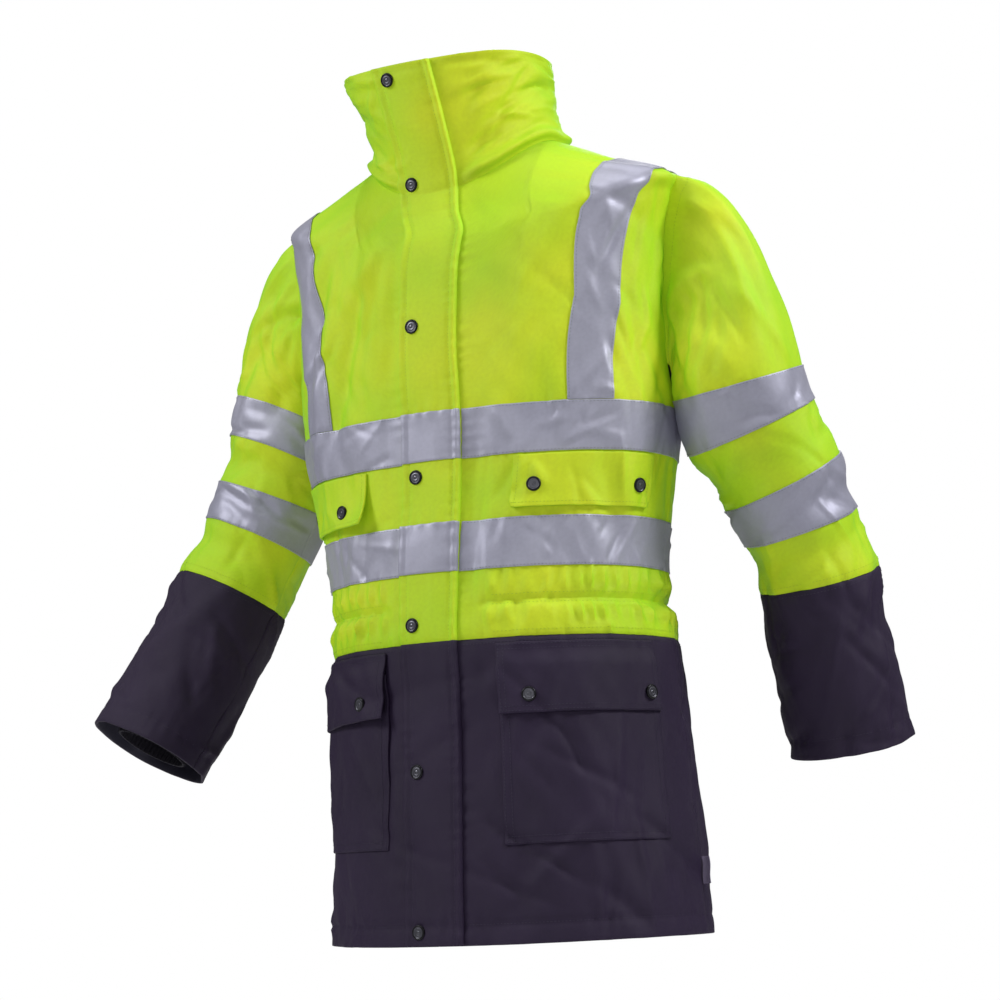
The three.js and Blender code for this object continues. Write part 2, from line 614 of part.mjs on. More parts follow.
// Tapes from the chest tape up to the shoulder seam, in front and behind.
function addBraces(side) {
  const { first, last } = BRACE_COLUMNS;
  const foot = CHEST_TAPE.top - SEAM;
  const front = [levelPlaces(side, foot), ...bodicePlaces(side)]
    .map((places) => places.slice(first, last + 1));
  const middle = COLUMNS.length + SIDE_SHARES.length + 1;
  const [start, end] = side === 'left' ? [middle - last, middle - first] : [middle + first, middle + last];
  const back = [levelPlaces('back', foot), ...bodicePlaces('back')]
    .map((places) => places.slice(start, end + 1));
  for (const rows of [front, back]) {
    rows[rows.length - 1] = rows[rows.length - 1].map(([angle, down]) => (
      seamedTop(angle, down, rows === back ? 'back' : side)
    ));
  }
  addMesh(`brace_${side}_front`, layOn(front, TAPE), 'tape');
  addMesh(`brace_${side}_back`, layOn(back, TAPE), 'tape');
}

// Storm flap: rows of places down the front, then rows up the collar's front.
const PLACKET_SHARES = evenShares(PLACKET.columns);
function placketPlaces(down) {
  return PLACKET_SHARES.map((share) => [angleAt(lerp(PLACKET.free, PLACKET.sewn, share), down), down]);
}

function placketLift(share) {
  const { freeLift, sewnLift, bend } = PLACKET;
  return lerp(freeLift, sewnLift, clamp((share - bend) / (1 - bend), 0, 1));
}

function addPlacket() {
  const yellowLevels = [NAVY_SEAM - SEAM / 2, ...PLACKET_LEVELS.yellow, SEAM];
  const onBody = (lift) => yellowLevels.map((down) => makeRow(placketPlaces(down), (share) => (
    LAID + lift + placketLift(share)
  )));
  const onCollar = (lift) => COLLAR_STEPS.slice(1).map((step) => {
    const points = PLACKET_SHARES.map((share) => {
      const angle = collarAngle(lerp(PLACKET.free, PLACKET.sewn, share), step);
      return collarPoint(angle, step, LAID + lift + placketLift(share));
    });
    return { points, shares: PLACKET_SHARES };
  });
  const sheet = (lift) => [...onBody(lift), ...onCollar(lift)];
  addMesh('placket_yellow', wall(sheet(PLACKET_CLOTH), sheet(0)), 'yellow');

  const navyLevels = [HEM - 1, ...PLACKET_LEVELS.navy, NAVY_SEAM + SEAM / 2];
  const navyRows = navyLevels.map(placketPlaces);
  addMesh('placket_navy', layOn(navyRows, PLACKET_CLOTH, placketLift), 'navy');

  for (const [label, span] of [['chest', CHEST_TAPE], ['waist', WAIST_TAPE]]) {
    const rows = [span.bottom, span.top].map(placketPlaces);
    const lift = (share) => LAID + PLACKET_CLOTH + placketLift(share);
    addMesh(`${label}_tape_placket`, layOn(rows, TAPE, lift), 'tape');
  }
}

// Collar: sections by step number, with steps between them.
const COLLAR_STEPS = [0, 0.75, 1.5, 2.25, 3, 3.5, 4];
const COLLAR_TABLE = COLLAR.map((section, step) => ({ step, ...section }));

function collarSkin(angle, step) {
  const section = smoothRow(COLLAR_TABLE, 'step', step);
  const sine = Math.sin(degToRad(angle));
  const cosine = Math.cos(degToRad(angle));
  const depth = cosine > 0 ? section.fore : section.aft;
  const height = cosine > 0 ? section.front : section.back;
  return new THREE.Vector3(
    section.cx + section.half * signedPower(sine, 2 / COLLAR_POWER),
    section.cy - depth * signedPower(cosine, 2 / COLLAR_POWER),
    section.side + (height - section.side) * cosine * cosine,
  );
}

function collarPoint(angle, step, lift) {
  const around = collarSkin(angle + 1, step).sub(collarSkin(angle - 1, step));
  const along = collarSkin(angle, Math.min(step + 0.05, 4)).sub(collarSkin(angle, Math.max(step - 0.05, 0)));
  return collarSkin(angle, step).addScaledVector(around.cross(along).normalize(), lift);
}

function collarAngle(distance, step) {
  const { half } = smoothRow(COLLAR_TABLE, 'step', step);
  const share = Math.abs(distance) / half;
  return Math.sign(distance) * THREE.MathUtils.radToDeg(Math.asin(share ** (COLLAR_POWER / 2)));
}

function addCollar() {
  const shares = evenShares(2 * COLLAR_COLUMNS + 1);
  const quarter = COLUMNS.filter((column) => column.top <= NECK_HALF)
    .map((column) => collarAngle(column.top, 0));
  const side = [...quarter, ...quarter.slice(0, -1).toReversed().map((angle) => 180 - angle)];
  const foot = [
    COLLAR_GAP, ...side, 180, ...side.toReversed().map((angle) => 360 - angle), 360 - COLLAR_GAP,
  ];
  const row = (angles, step, lift) => ({
    points: angles.map((angle) => collarPoint(angle, step, lift)),
    shares: angles.map((angle) => angle / 360),
  });
  const angles = shares.map((share) => lerp(COLLAR_GAP, 360 - COLLAR_GAP, share));
  const sheet = (lift) => COLLAR_STEPS.map((step) => row(step ? angles : foot, step, lift));
  addMesh('collar', wall(sheet(0), sheet(-COLLAR_CLOTH)), 'yellow');
}

// Sleeves: a grid of points, a row for each step and a column for each corner of the armhole.
function stationAt(side, at) {
  const table = SLEEVES[side].map((station, step) => ({ step, ...station }));
  return smoothRow(table, 'step', at);
}

function sleeveDirection(side, at) {
  const before = stationAt(side, Math.max(at - 0.1, 0));
  const after = stationAt(side, Math.min(at + 0.1, 6));
  return new THREE.Vector3(after.x - before.x, after.y - before.y, after.z - before.z).normalize();
}

function sleeveFoldRise(side, at, around) {
  let rise = 0;
  for (const fold of SLEEVE_FOLDS[side]) {
    let swing = around - fold.around;
    swing -= 360 * Math.round(swing / 360);
    rise += fold.rise * Math.exp(-(((at - fold.at) / fold.width) ** 2) - (swing / fold.reach) ** 4);
  }
  return rise;
}

// Angle of a column round the sleeve: the inner side, the front, the outer side, the back.
function columnAngle(column) {
  const half = BODICE_STEPS.length - 1;
  return column <= half ? 180 * BODICE_STEPS[column] : 360 - 180 * BODICE_STEPS[2 * half - column];
}

function sleeveRingPoint(side, at, around, { narrow = 0, folded = true } = {}) {
  const station = stationAt(side, at);
  const direction = sleeveDirection(side, at);
  const inward = new THREE.Vector3(side === 'left' ? -1 : 1, 0, 0);
  inward.addScaledVector(direction, -inward.dot(direction)).normalize();
  const forward = new THREE.Vector3().crossVectors(direction, inward);
  if (forward.y > 0) forward.negate();
  const rise = folded && !narrow ? sleeveFoldRise(side, at, around) : -narrow;
  const angle = degToRad(around);
  const point = new THREE.Vector3(station.x, station.y, station.z)
    .addScaledVector(inward, (station.across + rise) * signedPower(Math.cos(angle), RING_POWER))
    .addScaledVector(forward, (station.through + rise) * signedPower(Math.sin(angle), RING_POWER))
    .addScaledVector(direction, station.lean * Math.cos(angle) + station.nod * Math.sin(angle));
  return clearOfBody(side, point);
}

// Moves a point of a sleeve out where it would press into the body's side.
function clearOfBody(side, point) {
  const hole = ARMHOLES[side];
  const down = -point.z;
  const { least: apart, above, grow } = SLEEVE_CLEAR;
  if (down < hole.bottom - above) return point;
  const clear = lerp(LAID, apart, clamp((down - hole.bottom + above) / grow, 0, 1));
  const least = bodySide(side, point.y, down) + clear;
  const sign = side === 'left' ? 1 : -1;
  if (sign * point.x < least) point.setX(sign * least);
  return point;
}

function armholePoints(side) {
  const sign = side === 'left' ? 1 : -1;
  const place = (face) => spread(armholeEdge(side, face), BODICE_STEPS)
    .map(([angle, down]) => bodyPoint(sign * angle, down));
  const front = place('front');
  return [...front, ...place('back').slice(1, -1).toReversed()];
}

// The sleeve head runs from the armhole to the first station on a curve for each column.
function sleeveHeadRow(side, t) {
  const sign = side === 'left' ? 1 : -1;
  const out = new THREE.Vector3(sign, 0, HEAD_CURVE.tilt).normalize();
  const down = sleeveDirection(side, 0);
  return armholePoints(side).map((start, column) => {
    const from = start.clone().addScaledVector(out, LAID);
    const to = sleeveRingPoint(side, 0, columnAngle(column));
    const reach = from.distanceTo(to);
    const h = cubicWeights(t);
    const point = from.multiplyScalar(h[0]).addScaledVector(out, h[1] * reach * HEAD_CURVE.out)
      .addScaledVector(to, h[2]).addScaledVector(down, h[3] * reach * HEAD_CURVE.down);
    return t > 0 ? clearOfBody(side, point) : point;
  });
}

const SLEEVE_STEPS = [1, 1.35, 1.7, 2, 2.5, 3, 3.35, 3.7, 4, 4, 4.35, 4.7, 5, 5.35, 5.7, 6];
const YELLOW_SLEEVE_ROWS = CAP_STEPS.length + SLEEVE_STEPS.indexOf(4) + 1;
const SLEEVE_TAPES = { upper: [0, 1], lower: [2, 2.5, 3] };

function sleeveGrid(side, folded) {
  const angles = Array.from({ length: SLEEVE_COLUMNS }, (_, column) => columnAngle(column));
  const head = CAP_STEPS.map((t) => sleeveHeadRow(side, t));
  const arm = SLEEVE_STEPS.map((at, r) => {
    const shift = at !== 4 ? 0 : (SLEEVE_STEPS[r + 1] === 4 ? -SEAM / 2 : SEAM / 2);
    const slide = sleeveDirection(side, at).multiplyScalar(shift);
    return angles.map((around) => sleeveRingPoint(side, at, around, { folded }).add(slide));
  });
  return [...head, ...arm];
}

// Outward directions at the corners of a ring grid, from the corners beside each.
function gridNormals(grid) {
  const middle = grid.map((row) => row.reduce((sum, p) => sum.add(p), new THREE.Vector3())
    .multiplyScalar(1 / row.length));
  return grid.map((row, r) => row.map((point, c) => {
    const around = row[(c + 1) % row.length].clone().sub(row[(c + row.length - 1) % row.length]);
    const above = grid[Math.max(r - 1, 0)][c];
    const below = grid[Math.min(r + 1, grid.length - 1)][c];
    const normal = around.cross(below.clone().sub(above)).normalize();
    const outward = point.clone().sub(middle[r]);
    return normal.dot(outward) < 0 ? normal.negate() : normal;
  }));
}

function ringSheet(grid, normals, rows, lift) {
  const shares = Array.from({ length: SLEEVE_COLUMNS }, (_, column) => column / SLEEVE_COLUMNS);
  return rows.map((r) => ({
    points: grid[r].map((point, c) => point.clone().addScaledVector(normals[r][c], lift)), shares,
  }));
}

function addSleeve(side) {
  const grid = sleeveGrid(side, true);
  const normals = gridNormals(sleeveGrid(side, false));
  const seam = YELLOW_SLEEVE_ROWS - 1;
  normals[seam].forEach((normal, c) => {
    normal.add(normals[seam + 1][c]).normalize();
    normals[seam + 1][c] = normal;
  });
  const sheet = (rows, lift) => ringSheet(grid, normals, rows, lift);
  const all = grid.map((_, r) => r);
  const yellow = all.slice(0, YELLOW_SLEEVE_ROWS);
  const navy = all.slice(YELLOW_SLEEVE_ROWS);
  addMesh(`sleeve_${side}_yellow`, wall(sheet(yellow, 0), sheet(yellow, -CLOTH), true), 'yellow');
  addMesh(`sleeve_${side}_navy`, wall(sheet(navy, 0), sheet(navy, -CLOTH), true), 'navy');
  for (const [label, steps] of Object.entries(SLEEVE_TAPES)) {
    const rows = steps.map((at) => CAP_STEPS.length + SLEEVE_STEPS.indexOf(at));
    addMesh(`sleeve_${side}_tape_${label}`, wall(sheet(rows, LAID + TAPE), sheet(rows, LAID), true), 'tape');
  }
  addStormCuff(side, sheet([navy[STORM_CUFF_SEAM.row]], -CLOTH - SEAM)[0]);
}

// Knitted storm cuff, sewn inside the sleeve and narrowing to the wrist.
function addStormCuff(side, sewn) {
  const ring = (at, radius) => ({
    points: sewn.points.map((_, column) => (
      sleeveRingPoint(side, at, columnAngle(column), { narrow: stationAt(side, at).across - radius })
    )),
    shares: sewn.shares,
  });
  const outer = [sewn, ...STORM_CUFF.map(({ at, radius }) => ring(at, radius))];
  const inner = [
    ring(STORM_CUFF_SEAM.at, STORM_CUFF_SEAM.radius),
    ...STORM_CUFF.map(({ at, radius }) => ring(at, radius - KNIT)),
  ];
  addMesh(`storm_cuff_${side}`, wall(outer, inner, true), 'knit');
}

// Patch pockets low on the fronts, each with a flap sewn above its mouth.
const POCKET_COLUMNS = { left: 3, right: 2, last: COLUMNS.length + SIDE_SHARES.length };
function pocketPlaces(side, down) {
  return levelPlaces(side, down).slice(POCKET_COLUMNS[side], POCKET_COLUMNS.last + 1);
}

function addLowerPocket(side) {
  const patchLevels = NAVY_LEVELS.filter((down) => (
    down >= LOWER_POCKET.mouth && down <= LOWER_POCKET.bottom
  )).map((down) => (down === LOWER_POCKET.mouth ? down + POCKET_SHAPE.gap : down));
  const puff = (share, height) => (
    POCKET_SHAPE.swell * Math.sin(Math.PI * share) * Math.sin(Math.PI * height)
  );
  const rows = patchLevels.map((down) => pocketPlaces(side, down));
  const sheet = (extra, swell) => rows.map((places, r) => makeRow(places, (share) => (
    LAID + extra + swell * puff(share, r / (rows.length - 1))
  )));
  addMesh(`lower_pocket_${side}`, wall(sheet(FLAP_CLOTH, 1), sheet(0, 0)), 'navy');

  const { top, mouth, flapMiddle, flapEnd } = LOWER_POCKET;
  const flapLevels = [flapEnd + POCKET_SHAPE.edge, flapMiddle, mouth, top];
  const flapRows = flapLevels.map((down) => pocketPlaces(side, down));
  const { corner, cover, under, ripple, rippleTurns } = POCKET_SHAPE;
  const lift = (share, height) => {
    const down = 1 - height;
    const patch = FLAP_CLOTH + LAID + puff(share, under * down) * cover;
    const ripples = ripple * down * Math.sin(rippleTurns * share) ** 2;
    return (height < 1 ? patch : 0) + corner[side] * (1 - share) ** 3 * down ** 2 + ripples;
  };
  addMesh(`lower_flap_${side}`, layOn(flapRows, FLAP_CLOTH, lift), 'navy');
  const outer = laidSheet(flapRows, FLAP_CLOTH, lift);
  LOWER_SNAPS.forEach(([across, up], i) => {
    addSnapOn(`snap_lower_${side}_${i + 1}`, outer, across, up);
  });
}

const CHEST_FLAP_COLUMN = 4;
function addChestFlap(side) {
  const { corner, edge } = CHEST_SHAPE;
  const rows = [CHEST_FLAP.bottom, CHEST_FLAP.middle, CHEST_FLAP.top].map((down) => (
    levelPlaces(side, down).slice(CHEST_FLAP_COLUMN, POCKET_COLUMNS.last + 1)
  ));
  const lift = (share, height) => (1 - height) ** 2 * (edge + corner[side] * (1 - share) ** 3);
  addMesh(`chest_flap_${side}`, layOn(rows, FLAP_CLOTH, lift), 'yellow');
  const outer = laidSheet(rows, FLAP_CLOTH, lift);
  CHEST_SNAPS[side].forEach(([across, up], i) => {
    addSnapOn(`snap_chest_${side}_${i + 1}`, outer, across, up);
  });
}

// A press-stud cap: a low dome with a ring pressed in it, its back on the cloth.
const SNAP_PROFILE = [
  [0, 0], [SNAP.radius, 0], [SNAP.radius - SNAP.bevel, SNAP.height], [0, SNAP.height - SNAP.dish],
].map(([x, y]) => new THREE.Vector2(x, y));

function addSnap(name, base, normal, scale = 1) {
  const geometry = new THREE.LatheGeometry(SNAP_PROFILE, SNAP.sides);
  geometry.scale(scale, scale, scale);
  const turn = new THREE.Quaternion().setFromUnitVectors(new THREE.Vector3(0, 1, 0), normal);
  geometry.applyQuaternion(turn);
  geometry.translate(base.x, base.y, base.z);
  addMesh(name, geometry, 'snap');
}

// A snap on a sheet of rows, at a share across it and a share up it.
function addSnapOn(name, rows, across, up) {
  const spot = (a, b) => {
    const row = clamp(b, 0, 0.999) * (rows.length - 1);
    const column = clamp(a, 0, 0.999) * (rows[0].points.length - 1);
    const [r, c] = [Math.floor(row), Math.floor(column)];
    const along = (line) => line.points[c].clone().lerp(line.points[c + 1], column - c);
    return along(rows[r]).lerp(along(rows[r + 1]), row - r);
  };
  const base = spot(across, up);
  const side = spot(across + 0.02, up).sub(spot(across - 0.02, up));
  const normal = side.cross(spot(across, up + 0.05).sub(spot(across, up - 0.05))).normalize();
  if (normal.dot(new THREE.Vector3(base.x, base.y, 0)) < 0) normal.negate();
  addSnap(name, base.addScaledVector(normal, SNAP.seat), normal);
}

function addPlacketSnaps() {
  const cover = LAID + PLACKET_CLOTH + placketLift(0);
  PLACKET_SNAPS.forEach((down, i) => {
    const angle = angleAt(SNAP_DISTANCE, down);
    const base = bodyPoint(angle, down, cover);
    const normal = bodyPoint(angle, down, cover + 1).sub(base);
    addSnap(`snap_placket_${i + 1}`, base.addScaledVector(normal, SNAP.seat), normal);
  });
  COLLAR_SNAPS.forEach((step, i) => {
    const angle = collarAngle(SNAP_DISTANCE, step);
    const base = collarPoint(angle, step, cover);
    const normal = collarPoint(angle, step, cover + 1).sub(base);
    addSnap(`snap_collar_${i + 1}`, base.addScaledVector(normal, SNAP.seat), normal);
  });
}

// The stud that the lifted chest flap on the right leaves open.
function addChestStud() {
  const down = CHEST_FLAP.bottom - CHEST_STUD.up;
  const angle = angleAt(CHEST_STUD.distance, down);
  const base = bodyPoint(angle, down, 0);
  const normal = bodyPoint(angle, down, 1).sub(base);
  addSnap('stud_chest_right', base.addScaledVector(normal, SNAP.seat), normal, CHEST_STUD.scale);
}

// The tab sewn in the left side seam, a blade that stands off the seam.
function addSideTab() {
  const sheet = (angle) => [TAB.bottom, TAB.top].map((down) => ({
    points: [bodyPoint(angle, down, 2 * LAID), bodyPoint(angle, down, TAB.reach)], shares: [0, 1],
  }));
  addMesh('side_tab', wall(sheet(TAB.angle), sheet(TAB.angle + TAB.cloth)), 'label');
}

for (const side of ['left', 'right']) {
  addYellowPanel(`front_${side}_yellow`, side);
  addNavyPanel(`front_${side}_navy`, side);
  addBraces(side);
  addSleeve(side);
  addLowerPocket(side);
  addChestFlap(side);
}
addYellowPanel('back_yellow', 'back');
addNavyPanel('back_navy', 'back');
addBodyTapes('chest', CHEST_TAPE);
addBodyTapes('waist', WAIST_TAPE);
addPlacket();
addCollar();
addPlacketSnaps();
addChestStud();
addSideTab();

export default jacket;
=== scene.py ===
"""Padded high-visibility work jacket in its worn form, with no wearer in it.

The cloth is laid out on the same named forms as the part's source: a body, two sleeves and a
collar. Tables and form functions are in millimetres and degrees, finished meshes in metres.
The wearer faces -Y, the wearer's left arm is on +X, and +Z is up.
"""

from __future__ import annotations

import logging
import math
from dataclasses import dataclass, field
from enum import Enum
from typing import Callable, Sequence

import bmesh
import bpy
import numpy as np
from mathutils import Matrix, Vector

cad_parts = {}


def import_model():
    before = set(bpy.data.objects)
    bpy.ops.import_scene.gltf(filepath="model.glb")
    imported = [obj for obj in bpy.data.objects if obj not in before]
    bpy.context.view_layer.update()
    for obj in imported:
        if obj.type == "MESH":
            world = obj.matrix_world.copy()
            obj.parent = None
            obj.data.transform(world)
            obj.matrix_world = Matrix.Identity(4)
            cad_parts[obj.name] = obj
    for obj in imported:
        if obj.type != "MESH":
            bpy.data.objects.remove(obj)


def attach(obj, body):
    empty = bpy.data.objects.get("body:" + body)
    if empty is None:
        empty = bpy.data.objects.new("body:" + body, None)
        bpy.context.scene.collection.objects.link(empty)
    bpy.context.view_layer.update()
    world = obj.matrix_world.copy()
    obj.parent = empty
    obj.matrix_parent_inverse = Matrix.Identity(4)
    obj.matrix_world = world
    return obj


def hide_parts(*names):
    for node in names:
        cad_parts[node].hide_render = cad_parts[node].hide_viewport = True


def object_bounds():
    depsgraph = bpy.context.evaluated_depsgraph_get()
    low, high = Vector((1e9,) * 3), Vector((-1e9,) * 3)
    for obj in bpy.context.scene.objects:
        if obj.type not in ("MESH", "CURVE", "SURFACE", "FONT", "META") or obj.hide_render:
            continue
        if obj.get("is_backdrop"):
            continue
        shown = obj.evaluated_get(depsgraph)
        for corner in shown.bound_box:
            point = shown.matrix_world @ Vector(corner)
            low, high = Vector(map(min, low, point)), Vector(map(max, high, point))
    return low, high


LOG = logging.getLogger("jacket")
MM = 0.001

# Drops below the sides of the neck, and heights of cloth, as in the part's source
HEM = 820.0
SHOULDER_TIP = 54.0
NAVY_SEAM = 525.0
CHEST_TAPE = (292.0, 342.0)
WAIST_TAPE = (406.0, 456.0)
GATHER_UPPER, GATHER_LINE, GATHER_LOWER = 473.0, 487.0, 501.0
POCKET_TOP, POCKET_MOUTH, FLAP_END, POCKET_BOTTOM = 531.0, 550.0, 601.0, 726.0
CHEST_FLAP = (344.0, 397.0)
SIDE_SEAM, SHOULDER_SEAM = 96.0, 90.0
NECK_HALF = 105.0
PLACKET_FREE, PLACKET_SEWN = -36.0, 29.0
CLOTH, COLLAR_CLOTH, FLAP_CLOTH, PLACKET_CLOTH, KNIT, TAPE = 3.0, 5.0, 2.6, 3.2, 2.4, 1.0
LAID = 0.4
STITCH_RISE = 0.15
# Rough radii that turn angles into millimetres round the cloth
BODY_ROUND, WAIST_ROUND, COLLAR_ROUND, SLEEVE_ROUND = 165.0, 158.0, 100.0, 63.0

Field = Callable[[np.ndarray, np.ndarray], np.ndarray]


class Side(Enum):
    """The wearer's two sides, with the sign of their x."""

    LEFT = 1
    RIGHT = -1

    @property
    def word(self) -> str:
        """The side's name in lower case."""
        return self.name.lower()


class Face(Enum):
    """The two faces of the body."""

    FRONT = "front"
    BACK = "back"


class Slot(Enum):
    """The record's material slots."""

    YELLOW = "yellow"
    NAVY = "navy"
    TAPE = "tape"
    KNIT = "knit"
    SNAP = "snap"
    LABEL = "label"


# ---- Curves and folds

class Sections:
    """Rows of measures that are read as smooth curves between the rows."""

    def __init__(self, names: Sequence[str], rows: Sequence[Sequence[float]]) -> None:
        """Keeps the rows in rising order of the first measure.

        Args:
            names: The measures' names; the first is the key.
            rows: One row of values for each section.
        """
        table = np.array(rows, float)
        self.names = tuple(names)
        self.table = table[np.argsort(table[:, 0])]

    def at(self, place: np.ndarray) -> dict[str, np.ndarray]:
        """Reads every measure at one or more places.

        Args:
            place: Values of the key.

        Returns:
            An array for each measure's name.
        """
        table = self.table
        keys = table[:, 0]
        place = np.clip(np.asarray(place, float), keys[0], keys[-1])
        low = np.clip(np.searchsorted(keys, place, side="left") - 1, 0, len(keys) - 2)
        before, a, b = table[np.maximum(low - 1, 0)], table[low], table[low + 1]
        after = table[np.minimum(low + 2, len(keys) - 1)]
        span = b[..., :1] - a[..., :1]
        t = (place[..., None] - a[..., :1]) / span
        slope_in = (b - before) / (b[..., :1] - before[..., :1])
        slope_out = (after - a) / (after[..., :1] - a[..., :1])
        value = ((2 * t**3 - 3 * t**2 + 1) * a + (t**3 - 2 * t**2 + t) * span * slope_in
                 + (3 * t**2 - 2 * t**3) * b + (t**3 - t**2) * span * slope_out)
        return {name: value[..., i] for i, name in enumerate(self.names)}


@dataclass(frozen=True)
class Fold:
    """A soft trough or ridge, given one by one.

    turn and run give its middle: an angle round the form and a place along it. length and
    width are in millimetres, lean tips its upper end towards larger angles, rise is its height.
    """

    turn: float
    run: float
    length: float
    lean: float
    width: float
    rise: float

    def height(self, angle: np.ndarray, along: np.ndarray, radius: np.ndarray | float) -> np.ndarray:
        """Height of the fold at places on the form.

        Args:
            angle: Angles in degrees.
            along: Millimetres down the form from its start.
            radius: Rough radius of the form, in millimetres.

        Returns:
            Heights in millimetres.
        """
        swing = wrap(angle - self.turn)
        across = np.radians(swing) * radius
        down = along - self.run
        lean = math.radians(self.lean)
        side = across * math.cos(lean) + down * math.sin(lean)
        length = down * math.cos(lean) - across * math.sin(lean)
        return self.rise * np.exp(-((side / self.width) ** 2) - (length / (self.length / 2)) ** 4)


@dataclass(frozen=True)
class Rumple:
    """Slow, uneven drape of the cloth: a seeded sum of long waves."""

    seed: int
    height: float
    across: float
    along: float
    waves: int = 9

    def value(self, x: np.ndarray, y: np.ndarray) -> np.ndarray:
        """Height of the drape at places given in millimetres across and along the cloth."""
        rng = np.random.default_rng(self.seed)
        total = np.zeros_like(x)
        for _ in range(self.waves):
            kx = 2 * math.pi / (self.across * rng.uniform(0.7, 1.8)) * rng.choice((-1, 1))
            ky = 2 * math.pi / (self.along * rng.uniform(0.7, 1.8))
            total += np.sin(kx * x + ky * y + rng.uniform(0, 2 * math.pi))
        return self.height * total / math.sqrt(self.waves)


@dataclass(frozen=True)
class Creases:
    """A seeded scatter of small creases.

    turns and runs bound the area, lean is the creases' usual slant and sway how far that varies.
    """

    seed: int
    count: int
    turns: tuple[float, float]
    runs: tuple[float, float]
    lean: float = 0.0
    sway: float = 35.0
    lengths: tuple[float, float] = (26.0, 80.0)
    widths: tuple[float, float] = (2.8, 7.0)
    rises: tuple[float, float] = (0.6, 1.7)

    def folds(self) -> tuple[Fold, ...]:
        """The creases, as folds."""
        rng = np.random.default_rng(self.seed)
        made = []
        for _ in range(self.count):
            sign = rng.choice((-1.0, -1.0, 1.0))
            made.append(Fold(rng.uniform(*self.turns), rng.uniform(*self.runs), rng.uniform(*self.lengths),
                             rng.normal(self.lean, self.sway), rng.uniform(*self.widths),
                             sign * rng.uniform(*self.rises)))
        return tuple(made)


def pucker(along: np.ndarray, apart: np.ndarray, beat: float, height: float = 0.7, period: float = 9.5,
           reach: float = 7.0) -> np.ndarray:
    """Small puckers square to a seam, dying away on both sides of it.

    Args:
        along: Millimetres along the seam.
        apart: Millimetres from the seam.
        beat: A number that sets this seam's puckers apart from the others'.
        height: Greatest height in millimetres.
        period: Usual distance between puckers.
        reach: How far they run from the seam.

    Returns:
        Heights in millimetres.
    """
    phase = (2 * math.pi * along / period + 1.7 * np.sin(along / 13 + beat)
             + 1.3 * np.sin(along / 31 + 2 * beat))
    size = 0.55 + 0.45 * np.sin(along / 19 + 3 * beat)
    return height * size * np.sin(phase) * np.exp(-np.abs(apart) / reach)


def signed_power(value: np.ndarray, power: np.ndarray | float) -> np.ndarray:
    """The power of a value's size, with the value's sign."""
    return np.sign(value) * np.abs(value) ** power


def unit(vectors: np.ndarray) -> np.ndarray:
    """Vectors scaled to length one."""
    return vectors / np.maximum(np.linalg.norm(vectors, axis=-1, keepdims=True), 1e-9)


def wrap(angle: np.ndarray) -> np.ndarray:
    """Angles brought between -180 and 180 degrees."""
    return (angle + 180.0) % 360.0 - 180.0


def ramp(value: np.ndarray, low: float, high: float) -> np.ndarray:
    """A smooth step from 0 at low to 1 at high."""
    t = np.clip((value - low) / (high - low), 0.0, 1.0)
    return t * t * (3 - 2 * t)


# ---- The body's form

